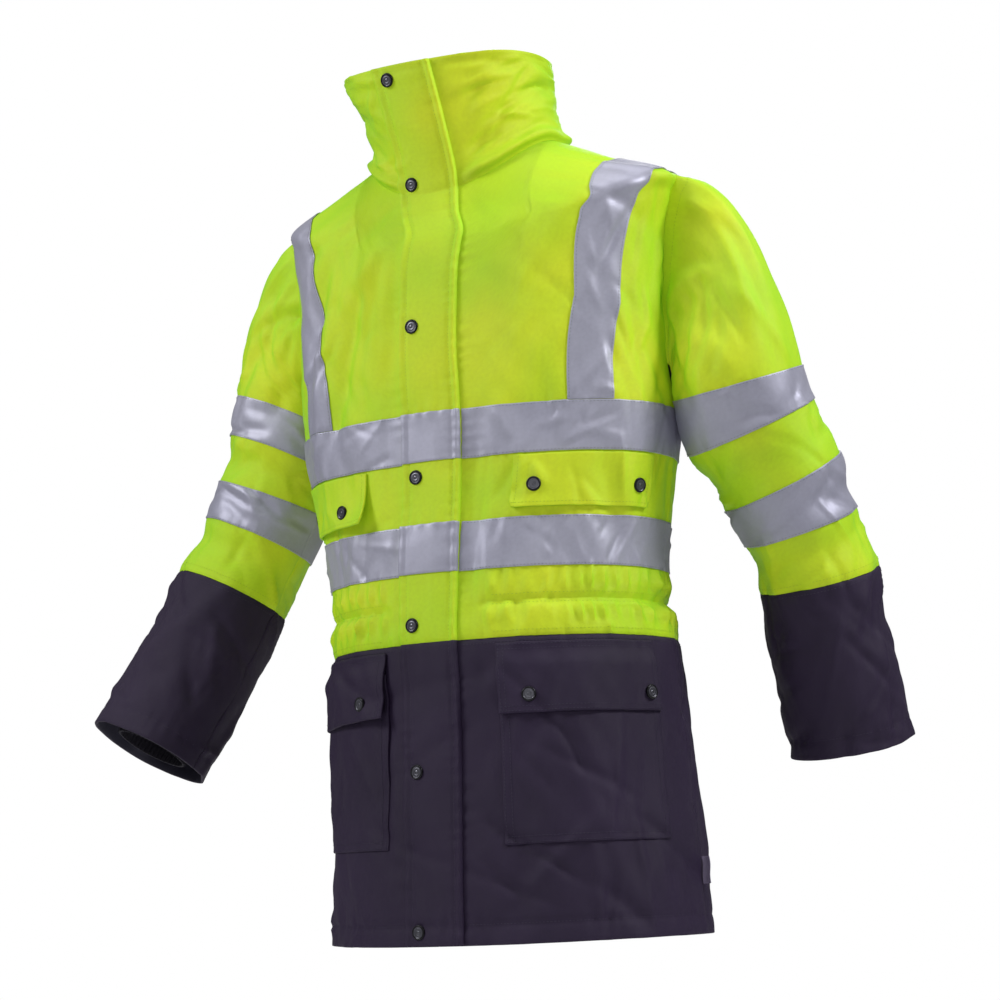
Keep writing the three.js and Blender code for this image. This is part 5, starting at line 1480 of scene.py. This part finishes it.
@dataclass
class LowerPocket:
    """Navy patch pocket low on a front, with its snapped flap."""

    shop: Workroom
    side: Side
    columns: dict[Side, float] = field(default_factory=lambda: {Side.LEFT: 76.0, Side.RIGHT: 65.0})
    snaps: tuple[tuple[float, float], ...] = ((0.16, 0.74), (0.93, 0.74))

    def puff(self, u: np.ndarray, v: np.ndarray) -> np.ndarray:
        """How far the patch stands off the front."""
        return np.sin(math.pi * u) * np.sin(math.pi * np.clip(v, 0, 1)) - 1.2 * ramp(v, 0.3, 0.8)

    def patch_out(self, u: np.ndarray, v: np.ndarray) -> np.ndarray:
        """The puff, with the grooves of the outer stitch lines."""
        side, foot = (u - 0.045) / 0.012, (v - 0.955) / 0.012
        return self.puff(u, v) - 0.5 * (np.exp(-side**2) + np.exp(-foot**2))

    def flap_out(self, u: np.ndarray, v: np.ndarray) -> np.ndarray:
        """How far the flap stands off the front, with its lifted inner corner."""
        corner = 9.0 if self.side is Side.RIGHT else 2.5
        over = ramp(v, 0.08, 0.35) * (FLAP_CLOTH + LAID + 1.2 * self.puff(u, 0.55 * v))
        return over + corner * (1 - u) ** 3 * v**2 + 0.8 * v * np.sin(5 * u) ** 2

    def build(self) -> None:
        """Makes the patch, the flap, their stitches and the snaps."""
        word, room, column = self.side.word, self.shop.wardrobe, self.columns[self.side]
        square = self.shop.body.normal
        patch = LaidPatch(self.shop, self.side, column, POCKET_MOUTH + 2, POCKET_BOTTOM, FLAP_CLOTH)
        piece = grid_mesh(f"patch_pocket_{word}", 56, 54, lambda u, v: patch.point(u, v, self.patch_out(u, v)))
        thicken(piece, FLAP_CLOTH)
        room.dress(piece, Slot.NAVY, (NAVY,), (f"lower_pocket_{word}",))
        flap = LaidPatch(self.shop, self.side, column, POCKET_TOP, FLAP_END, FLAP_CLOTH,
                         skew=5.0 if self.side is Side.RIGHT else 0.0)
        cover = grid_mesh(f"lower_flap_cover_{word}", 60, 24,
                          lambda u, v: flap.point(u, v, self.flap_out(u, v)))
        thicken(cover, FLAP_CLOTH, edge=0.4)
        room.dress(cover, Slot.NAVY, (NAVY,), (f"lower_flap_{word}",))
        lines = []
        run = np.linspace(0.01, 0.99, 160)
        for inset in (0.012, 0.045):
            for u, v in ((np.full_like(run, inset), run), (np.full_like(run, 1 - inset), run),
                         (run, np.full_like(run, 1 - inset))):
                lines.append((patch.point(u, v, self.puff(u, v) + STITCH_RISE), square(*patch.place(u, v))))
        for inset in (0.014, 0.04):
            for u, v in ((np.full_like(run, inset), run), (np.full_like(run, 1 - inset), run),
                         (run, np.full_like(run, 1 - 2.4 * inset)), (run, np.full_like(run, 2.4 * inset))):
                lines.append((flap.point(u, v, self.flap_out(u, v) + STITCH_RISE), square(*flap.place(u, v))))
        stitches = stitch_mesh(f"lower_pocket_stitches_{word}", lines)
        room.dress(stitches, Slot.NAVY, (NAVY_THREAD,))
        for i, (u, v) in enumerate(map(np.array, self.snaps), 1):
            at = flap.point(u, v, self.flap_out(u, v))
            add_snap(self.shop, f"snap_lower_{word}_{i}", at, square(*flap.place(u, v)))


@dataclass
class ChestPocket:
    """Yellow chest flap sewn under the chest tape."""

    shop: Workroom
    side: Side
    column: float = 88.0
    snaps: dict[Side, tuple[tuple[float, float], ...]] = field(default_factory=lambda: {
        Side.LEFT: ((0.13, 0.58), (0.87, 0.6)), Side.RIGHT: ((0.2, 0.7), (0.87, 0.6))})

    def out(self, u: np.ndarray, v: np.ndarray) -> np.ndarray:
        """How far the flap stands off the front, with its lifted inner corner on the right."""
        corner = 13.0 if self.side is Side.RIGHT else 1.0
        return v**2 * (1.2 + corner * (1 - u) ** 3)

    def build(self) -> None:
        """Makes the flap, its stitches and its snaps."""
        word, room, square = self.side.word, self.shop.wardrobe, self.shop.body.normal
        flap = LaidPatch(self.shop, self.side, self.column, *CHEST_FLAP, FLAP_CLOTH, corner=5.0)
        piece = grid_mesh(f"chest_flap_cover_{word}", 64, 22, lambda u, v: flap.point(u, v, self.out(u, v)))
        thicken(piece, FLAP_CLOTH, edge=0.4)
        room.dress(piece, Slot.YELLOW, (YELLOW,), (f"chest_flap_{word}",))
        run = np.linspace(0.01, 0.99, 160)
        lines = []
        for u, v in ((np.full_like(run, 0.03), run), (np.full_like(run, 0.97), run),
                     (run, np.full_like(run, 0.92))):
            lines.append((flap.point(u, v, self.out(u, v) + 0.12), square(*flap.place(u, v))))
        stitches = stitch_mesh(f"chest_flap_stitches_{word}", lines)
        room.dress(stitches, Slot.YELLOW, (YELLOW_THREAD,))
        for i, (u, v) in enumerate(map(np.array, self.snaps[self.side]), 1):
            at = flap.point(u, v, self.out(u, v))
            add_snap(self.shop, f"snap_chest_{word}_{i}", at, square(*flap.place(u, v)))
        if self.side is Side.RIGHT:
            down = np.array(CHEST_FLAP[1] - 16)
            angle = self.shop.body.angle_at(-98.0, down)
            add_snap(self.shop, "stud_chest_right", self.shop.body.point(angle, down), square(angle, down), 0.7)


# ---- Sleeves

@dataclass
class SleeveForm:
    """One sleeve's outer face: from the armhole (-1) over the head (0) to the cuff (6)."""

    body: BodyForm
    side: Side
    stations: Sections
    broad_folds: tuple[Fold, ...]
    fine_folds: tuple[Fold, ...]
    drape: Rumple

    def __post_init__(self) -> None:
        """Spreads the armhole's two edges by real length."""
        t = np.linspace(0, 1, 181)
        self.edges = {}
        for face in Face:
            chart = PanelChart(self.body, self.side, face)
            self.edges[face] = chart.grid[chart.LEVELS - 1:, chart.EDGE]
        self.shares = np.linspace(0, 1, len(self.edges[Face.FRONT]))
        run = np.array([[s[k] for k in ("x", "y", "z")] for s in map(self.station, t * 6)], float)
        self.lengths = np.concatenate([[0], np.cumsum(np.linalg.norm(np.diff(run, axis=0), axis=1))])
        self.steps = t * 6
        seed = 60 if self.side is Side.LEFT else 80
        self.small_folds = [fold for scatter in (
            Creases(seed, 54, (0, 360), (-115, -4), -14, 26, (34.0, 100.0), (4.0, 8.0), (1.2, 3.2)),
            Creases(seed + 1, 70, (0, 360), (0, 205), 50, 50, (24.0, 70.0), (2.8, 6.5), (1.0, 2.6)),
            Creases(seed + 2, 60, (0, 360), (205, 390), 20, 40, (34.0, 110.0), (3.4, 8.0), (1.2, 3.2)),
        ) for fold in scatter.folds()]

    def station(self, at: np.ndarray | float) -> dict[str, np.ndarray]:
        """The section's measures at a place down the arm."""
        return self.stations.at(np.clip(np.asarray(at, float), 0, 6))

    def middle(self, at: np.ndarray) -> np.ndarray:
        """The middle of the section."""
        s = self.station(at)
        return np.stack([s["x"], s["y"], s["z"]], -1)

    def direction(self, at: np.ndarray) -> np.ndarray:
        """The way down the arm."""
        return unit(self.middle(np.minimum(at + 0.1, 6)) - self.middle(np.maximum(at - 0.1, 0)))

    def ring(self, at: np.ndarray, around: np.ndarray, narrow: np.ndarray | float = 0.0,
             folded: bool = True) -> np.ndarray:
        """Points round the arm's sections.

        Args:
            at: Station numbers, 0 to 6.
            around: Degrees from the inner side through the front.
            narrow: Millimetres to draw the section in by.
            folded: Whether the broad folds count.

        Returns:
            Points in millimetres.
        """
        s, way = self.station(at), self.direction(at)
        inward = np.zeros_like(way)
        inward[..., 0] = -self.side.value
        inward = unit(inward - way * np.sum(inward * way, -1, keepdims=True))
        forward = np.cross(way, inward)
        forward = np.where(forward[..., 1:2] > 0, -forward, forward)
        rise = -np.asarray(narrow, float) + np.zeros_like(s["x"])
        if folded:
            for item in self.broad_folds:
                swing = wrap(around - item.turn)
                rise = rise + item.rise * np.exp(-(((at - item.run) / item.width) ** 2)
                                                 - (swing / item.length) ** 4)
        cosine, sine = np.cos(np.radians(around)), np.sin(np.radians(around))
        point = self.middle(at)
        point = point + inward * ((s["across"] + rise) * signed_power(cosine, 0.92))[..., None]
        point = point + forward * ((s["through"] + rise) * signed_power(sine, 0.92))[..., None]
        point = point + way * (s["lean"] * cosine + s["nod"] * sine)[..., None]
        return self.clear_of_body(point)

    def clear_of_body(self, point: np.ndarray) -> np.ndarray:
        """Moves points out where they would press into the body's side."""
        bottom = ARMHOLES[self.side].bottom
        down = -point[..., 2]
        near = (down >= bottom - 32) & (self.side.value * point[..., 0] < 250)
        if not near.any():
            return point
        spots, drops = point[near], down[near]
        clear = LAID + (4.5 - LAID) * np.clip((drops - bottom + 32) / 34, 0, 1)
        least = self.body.side_x(self.side, spots[:, 1], drops) + clear
        spots[:, 0] = self.side.value * np.maximum(self.side.value * spots[:, 0], least)
        point = point.copy()
        point[near] = spots
        return point

    def armhole(self, around: np.ndarray) -> np.ndarray:
        """Points of the body's edge for angles round the sleeve."""
        around = np.mod(around, 360)
        front = around <= 180
        share = np.where(front, around, 360 - around) / 180
        places = [np.where(front, np.interp(share, self.shares, self.edges[Face.FRONT][:, i]),
                           np.interp(share, self.shares, self.edges[Face.BACK][:, i])) for i in (0, 1)]
        return self.body.point(self.side.value * places[0], places[1])

    def form(self, at: np.ndarray, around: np.ndarray, folded: bool = True) -> np.ndarray:
        """Points of the whole sleeve's broad form, the head among them."""
        at, around = np.broadcast_arrays(np.asarray(at, float), np.asarray(around, float))
        arm = self.ring(np.maximum(at, 0), around, folded=folded)
        if not (at < 0).any():
            return arm
        t = np.clip(at + 1, 0, 1)[..., None]
        out = unit(np.array([self.side.value, 0, -0.3], float))
        tuck = 2.4 * (1 - np.clip(t / 0.03, 0, 1))
        start = self.armhole(around) + out * (LAID - tuck)
        end = self.ring(np.zeros_like(at), around)
        reach = np.linalg.norm(end - start, axis=-1, keepdims=True)
        way = self.direction(np.zeros_like(at))
        head = ((2 * t**3 - 3 * t**2 + 1) * start + (t**3 - 2 * t**2 + t) * out * reach * 0.95
                + (3 * t**2 - 2 * t**3) * end + (t**3 - t**2) * way * reach * 1.05)
        return np.where(at[..., None] < 0, self.clear_of_body(head), arm)

    def length_at(self, at: np.ndarray) -> np.ndarray:
        """Millimetres down the arm from the first station, with the head as negative length."""
        return np.where(at >= 0, np.interp(at, self.steps, self.lengths), at * 120.0)

    def relief(self, at: np.ndarray, around: np.ndarray) -> np.ndarray:
        """Height of the fine folds and the drape."""
        along = self.length_at(at)
        rise = self.drape.value(np.radians(around) * 60.0, along)
        rise = rise + Rumple(31, 0.2, 24.0, 36.0, 12).value(np.radians(around) * 60.0, along)
        for item in (*self.fine_folds, *self.small_folds):
            rise = rise + item.height(around, along, SLEEVE_ROUND)
        arc = np.radians(around) * SLEEVE_ROUND
        for beat, level in enumerate(np.interp((0.0, 1.0, 2.0, 3.0, 4.0), self.steps, self.lengths)):
            rise = rise + pucker(arc, along - level, beat + 0.4, 0.8)
        rise = rise + pucker(arc, along - self.lengths[-1] + 20, 6.0, 0.8, 12.0, 9.0)
        seam = -0.9 * np.exp(-(((along - np.interp(4.0, self.steps, self.lengths)) / 2.6) ** 2))
        hem = -0.8 * np.exp(-(((along - self.lengths[-1] + 20) / 2.6) ** 2))
        head = -1.2 * np.exp(-(((at + 1) / 0.03) ** 2))
        return ramp(at, -1.0, -0.85) * rise + seam + hem + head * ramp(at, -1.0, -0.99)

    def normal(self, at: np.ndarray, around: np.ndarray) -> np.ndarray:
        """Outward directions of the broad form without its folds."""
        at, around = np.broadcast_arrays(np.asarray(at, float), np.asarray(around, float))
        low, high = np.maximum(at - 0.03, -1), np.minimum(at + 0.03, 6)
        turn = self.form(at, around + 1.5, False) - self.form(at, around - 1.5, False)
        run = self.form(high, around, False) - self.form(low, around, False)
        way = unit(np.cross(turn, run))
        outward = self.form(at, around, False) - self.middle(np.maximum(at, 0))
        return np.where(np.sum(way * outward, -1, keepdims=True) < 0, -way, way)

    def point(self, at: np.ndarray, around: np.ndarray, lift: np.ndarray | float = 0.0) -> np.ndarray:
        """Points of the finished cloth, moved out by lift."""
        at, around = np.broadcast_arrays(np.asarray(at, float), np.asarray(around, float))
        height = np.asarray(lift + self.relief(at, around))[..., None]
        return self.form(at, around) + self.normal(at, around) * height


STATION_NAMES = ("step", "x", "y", "z", "across", "through", "lean", "nod")
LEFT_STATIONS = (
    (0, 272, 38, -269, 66, 66, 0, 0), (1, 279, 51, -314, 69, 67, 0, 0), (2, 301, 76, -368, 65, 64, 0, 0),
    (3, 313, 93, -415, 58, 60, 0, 0), (4, 321, 111, -468, 60, 60, 0, 0), (5, 325, 133, -548, 63, 62, 0, 0),
    (6, 330, 157, -636, 63, 60, 0, 0))
RIGHT_STATIONS = (
    (0, -263, 45, -243, 62, 63, 14, -9), (1, -271, 44, -287, 64, 65, 10, -7),
    (2, -285, 40, -334, 62, 63, 2, 0), (3, -302, 31, -379, 61, 62, 0, 0), (4, -328, 15, -438, 64, 63, 0, 0),
    (5, -366, -15, -533, 66, 64, 0, 0), (6, -396, -49, -609, 67, 64, 0, 0))
LEFT_BROAD = (Fold(60, 1.5, 70, 0, 0.3, -7), Fold(170, 2.55, 60, 0, 0.28, -7),
              Fold(90, 3.4, 80, 0, 0.3, -5), Fold(200, 4.6, 70, 0, 0.3, -4))
RIGHT_BROAD = (Fold(120, 1.5, 80, 0, 0.3, -6), Fold(100, 3.45, 70, 0, 0.28, -7),
               Fold(150, 4.5, 60, 0, 0.3, -4))
LEFT_FINE = (
    Fold(95, -50, 74, 35, 4.0, -3.4), Fold(82, -62, 64, 32, 4.0, -3.2), Fold(104, -35, 60, 35, 4.0, -2.6),
    Fold(66, -78, 90, 8, 5.0, 3.0), Fold(95, -80, 200, 0, 60, 6.0), Fold(110, -60, 110, 6, 12, -3.0),
    Fold(84, -40, 120, 4, 8, 3.0), Fold(60, -20, 80, -8, 7, -3.4),
    Fold(140, -30, 90, 20, 12, 2.0), Fold(40, 60, 60, 70, 6, -2.4), Fold(70, 70, 60, 60, 6, 2.0),
    Fold(50, 110, 50, 60, 6, -2.6), Fold(150, 130, 50, 70, 5, -3.0), Fold(120, 118, 50, 60, 5, 2.0),
    Fold(170, 150, 44, -60, 4, -2.6), Fold(80, 150, 60, 76, 6, -2.0), Fold(60, 200, 60, 60, 8, -2.6),
    Fold(100, 260, 90, 30, 9, -2.4), Fold(60, 300, 100, -20, 10, 2.2), Fold(140, 300, 90, 12, 9, -2.2),
    Fold(220, 100, 80, 60, 8, -2.6), Fold(260, 160, 80, -60, 8, -2.6), Fold(300, 60, 80, 40, 9, -2.4),
    Fold(280, 280, 100, 30, 9, -2.4), Fold(220, 240, 90, -30, 9, 2.2))
RIGHT_FINE = (
    Fold(112, -62, 90, 55, 5.4, -5.0), Fold(100, -34, 70, 62, 5.0, -4.4), Fold(100, -98, 60, 45, 6.0, -3.4),
    Fold(120, -60, 110, -10, 10, -2.6), Fold(90, -40, 110, 10, 9, 2.4), Fold(70, -20, 90, -16, 8, -2.4),
    Fold(60, 60, 60, 60, 7, -2.2), Fold(100, 70, 60, -50, 7, -2.0), Fold(64, 104, 44, 66, 4, -3.0),
    Fold(76, 112, 40, 40, 4, 2.4), Fold(92, 100, 60, 78, 4, 1.8), Fold(100, 108, 60, 74, 4, -1.8),
    Fold(70, 150, 60, 60, 8, -2.4), Fold(110, 190, 80, 30, 9, -2.2), Fold(70, 240, 100, -20, 10, 2.2),
    Fold(120, 290, 100, 14, 9, -2.2), Fold(60, 300, 90, 20, 9, -2.0), Fold(220, 100, 80, 60, 8, -2.6),
    Fold(260, 160, 80, -60, 8, -2.6), Fold(300, 60, 80, 40, 9, -2.4), Fold(280, 280, 100, 30, 9, -2.4))


@dataclass
class Sleeve:
    """One sleeve: yellow to below the elbow, navy forearm, two tapes and a knitted cuff."""

    shop: Workroom
    side: Side
    face_size: float = 3.8
    cuff_rings: tuple[tuple[float, float], ...] = (
        (5.06, 56.0), (5.25, 47.0), (5.5, 44.0), (5.75, 42.0), (5.95, 40.0))
    ribs: int = 44

    def __post_init__(self) -> None:
        """Sets up the sleeve's form."""
        left = self.side is Side.LEFT
        self.form = SleeveForm(self.shop.body, self.side,
                               Sections(STATION_NAMES, LEFT_STATIONS if left else RIGHT_STATIONS),
                               LEFT_BROAD if left else RIGHT_BROAD, LEFT_FINE if left else RIGHT_FINE,
                               Rumple(41 if left else 43, 0.6, 60.0, 80.0))

    def build(self) -> None:
        """Makes the sleeve's pieces."""
        word, room = self.side.word, self.shop.wardrobe
        upper = self.tube(f"sleeve_{word}_upper", -1.0, 4.0, 84)
        thicken(upper, CLOTH, lining=True)
        room.dress(upper, Slot.YELLOW, (YELLOW, LINING), (f"sleeve_{word}_yellow",))
        lower = self.tube(f"sleeve_{word}_forearm", 4.0, 6.0, 48)
        thicken(lower, CLOTH, lining=True)
        room.dress(lower, Slot.NAVY, (NAVY, LINING), (f"sleeve_{word}_navy",))
        for label, start, end in (("upper", 0.0, 1.0), ("lower", 2.0, 3.0)):
            self.band(label, start, end)
        self.stitches()
        self.storm_cuff()

    def tube(self, name: str, start: float, end: float, along: int, lift: float = 0.0) -> bpy.types.Object:
        """A closed ring of cloth between two places down the arm."""
        head = 0.36 if start < 0 else 0.0

        def surface(u: np.ndarray, v: np.ndarray) -> np.ndarray:
            if head:
                at = np.where(v < head, -1 + v / head, end * (v - head) / (1 - head))
            else:
                at = start + (end - start) * v
            return self.form.point(at, 360 * u, lift)
        return grid_mesh(name, int(400 / self.face_size), along, surface, ring=True)

    def band(self, label: str, start: float, end: float) -> None:
        """One tape round the sleeve."""
        word = self.side.word
        piece = self.tube(f"sleeve_{word}_band_{label}", start, end, 18, LAID + TAPE)
        thicken(piece, TAPE)
        self.shop.wardrobe.dress(piece, Slot.TAPE, (SILVER,), (f"sleeve_{word}_tape_{label}",))
        turn = np.linspace(0, 360, 260)
        lines = []
        for at in (start + 0.03, end - 0.03):
            spot = np.full_like(turn, at)
            lines.append((self.form.point(spot, turn, LAID + TAPE + 0.1), self.form.normal(spot, turn)))
        stitches = stitch_mesh(f"sleeve_{word}_band_stitches_{label}", lines)
        self.shop.wardrobe.dress(stitches, Slot.TAPE, (TAPE_THREAD,))

    def stitches(self) -> None:
        """Rows beside the navy seam and above the cuff's hem, and round the armhole."""
        turn = np.linspace(0, 360, 260)
        word = self.side.word
        end = float(np.interp(self.form.lengths[-1] - 20, self.form.lengths, self.form.steps))
        rows = {"navy": (4.07, end), "yellow": (3.9, -0.94)}
        for name, places in rows.items():
            lines = [(self.form.point(np.full_like(turn, at), turn, 0.12),
                      self.form.normal(np.full_like(turn, at), turn)) for at in places]
            piece = stitch_mesh(f"sleeve_{word}_stitches_{name}", lines)
            navy = name == "navy"
            self.shop.wardrobe.dress(piece, Slot.NAVY if navy else Slot.YELLOW,
                                     (NAVY_THREAD if navy else YELLOW_THREAD,))

    def storm_cuff(self) -> None:
        """The ribbed knit cuff sewn inside the sleeve."""
        places, radii = zip(*self.cuff_rings)

        def surface(u: np.ndarray, v: np.ndarray) -> np.ndarray:
            at = places[0] + (places[-1] - places[0]) * v
            radius = np.interp(at, places, radii)
            rib = 0.7 * np.cos(2 * math.pi * self.ribs * u) * ramp(v, 0.0, 0.15)
            return self.form.ring(at, 360 * u, self.form.station(at)["across"] - radius - rib, folded=False)
        word = self.side.word
        piece = grid_mesh(f"knit_cuff_{word}", self.ribs * 6, 20, surface, ring=True)
        thicken(piece, KNIT * 0.8)
        self.shop.wardrobe.dress(piece, Slot.KNIT, (RIB,), (f"storm_cuff_{word}",))


@dataclass
class SideTab:
    """A plain folded ribbon sewn in the left side seam."""

    shop: Workroom
    top: float = 744.0
    bottom: float = 771.0
    reach: float = 9.0

    def build(self) -> None:
        """Makes the ribbon as one thickened sheet standing out from the side seam."""
        def surface(u: np.ndarray, v: np.ndarray) -> np.ndarray:
            down = self.top + (self.bottom - self.top) * v
            turn = 96.5 + 0.25 * np.sin(math.pi * u)
            return self.shop.body.point(turn, down, 0.8 + (self.reach - 0.8) * u)
        piece = grid_mesh("side_ribbon_tab", 8, 14, surface)
        thicken(piece, 1.0)
        self.shop.wardrobe.dress(piece, Slot.LABEL, (RIBBON,), ("side_tab",))


# ---- Studio

@dataclass
class Studio:
    """Pale floor, soft lights and the camera at the photograph's angle."""

    azimuth: float = 27.0
    elevation: float = -8.8
    roll: float = 2.0
    distance: float = 2.7
    lens: float = 93.0
    target: tuple[float, float, float] = (0.0125, 0.0064, -0.367)
    floor: float = -1.5
    ambient: float = 0.2

    def build(self) -> None:
        """Makes the stage, the lights, the world and the camera."""
        self.camera()
        self.ground()
        self.light("key", 90.0, 38.0, 2.6, 0.7, 50.0)
        self.light("side", -46.0, 32.0, 2.8, 1.0, 39.0)
        self.light("top", 20.0, 80.0, 2.4, 1.0, 14.0)
        self.light("rear", 200.0, 30.0, 3.0, 1.6, 26.0)
        self.light("front", 16.0, 12.0, 3.0, 1.6, 9.0)
        world = bpy.data.worlds.new("studio")
        bpy.context.scene.world = world
        world.use_nodes = True
        nodes, links = world.node_tree.nodes, world.node_tree.links
        seen, rays = nodes["Background"], nodes.new("ShaderNodeLightPath")
        seen.inputs["Color"].default_value = (1.0, 1.0, 1.0, 1.0)
        strength = nodes.new("ShaderNodeMapRange")
        strength.inputs["To Min"].default_value = self.ambient
        strength.inputs["To Max"].default_value = 1.0
        links.new(rays.outputs["Is Camera Ray"], strength.inputs["Value"])
        links.new(strength.outputs[0], seen.inputs["Strength"])
        bpy.context.scene.view_settings.view_transform = "Standard"

    def camera(self) -> None:
        """Places the camera."""
        a, e, r = (math.radians(v) for v in (self.azimuth, self.elevation, self.roll))
        back = Vector((math.sin(a) * math.cos(e), -math.cos(a) * math.cos(e), math.sin(e)))
        right = Vector((math.cos(a), math.sin(a), 0.0))
        up = Vector((-math.sin(a) * math.sin(e), math.cos(a) * math.sin(e), math.cos(e)))
        axis_x = right * math.cos(r) - up * math.sin(r)
        axis_y = right * math.sin(r) + up * math.cos(r)
        data = bpy.data.cameras.new("camera")
        data.lens = self.lens
        data.sensor_width = 36.0
        camera = bpy.data.objects.new("camera", data)
        turn = Matrix((axis_x, axis_y, back)).transposed().to_4x4()
        camera.matrix_world = Matrix.Translation(Vector(self.target) + back * self.distance) @ turn
        bpy.context.scene.collection.objects.link(camera)
        bpy.context.scene.camera = camera

    def ground(self) -> None:
        """A plain pale floor at a standing wearer's feet."""
        bm = bmesh.new()
        place = Matrix.Translation((0, 0, self.floor))
        bmesh.ops.create_grid(bm, x_segments=1, y_segments=1, size=5.0, matrix=place)
        piece = to_object("floor", bm)
        material = bpy.data.materials.new("pale_floor")
        material.use_nodes = True
        shader = material.node_tree.nodes["Principled BSDF"]
        shader.inputs["Base Color"].default_value = (0.86, 0.86, 0.86, 1.0)
        shader.inputs["Roughness"].default_value = 0.9
        piece.data.materials.append(material)
        piece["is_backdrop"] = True

    def light(self, name: str, azimuth: float, elevation: float, away: float, size: float,
              power: float) -> None:
        """One soft light, aimed at the jacket.

        Args:
            name: Its name.
            azimuth: Degrees from the wearer's front towards the wearer's left.
            elevation: Degrees above level.
            away: Metres from the jacket.
            size: Metres across the disk.
            power: Watts.
        """
        a, e = math.radians(azimuth), math.radians(elevation)
        way = Vector((math.sin(a) * math.cos(e), -math.cos(a) * math.cos(e), math.sin(e)))
        data = bpy.data.lights.new(name, "AREA")
        data.shape = "DISK"
        data.size = size
        data.energy = power
        lamp = bpy.data.objects.new(name, data)
        turn = way.to_track_quat("Z", "Y").to_matrix().to_4x4()
        lamp.matrix_world = Matrix.Translation(Vector(self.target) + way * away) @ turn
        bpy.context.scene.collection.objects.link(lamp)


def main() -> None:
    """Builds the jacket over the frame."""
    logging.basicConfig(level=logging.INFO, format="%(name)s %(message)s")
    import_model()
    frame_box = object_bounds()
    shop = Workroom(BodyForm(), Wardrobe())
    collar = Collar(shop)
    parts = [Studio(), Torso(shop), Skirt(shop), BodyTapes(shop), collar, StormFlap(shop, collar),
             SideTab(shop)]
    for side in Side:
        parts += [Sleeve(shop, side), LowerPocket(shop, side), ChestPocket(shop, side)]
    for part in parts:
        part.build()
        LOG.info("%s built", type(part).__name__)
    boxes = {"cad": frame_box, "visual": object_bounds()}
    {name: [list(corner) for corner in box] for name, box in boxes.items()}


if __name__ == "__main__":
    main()
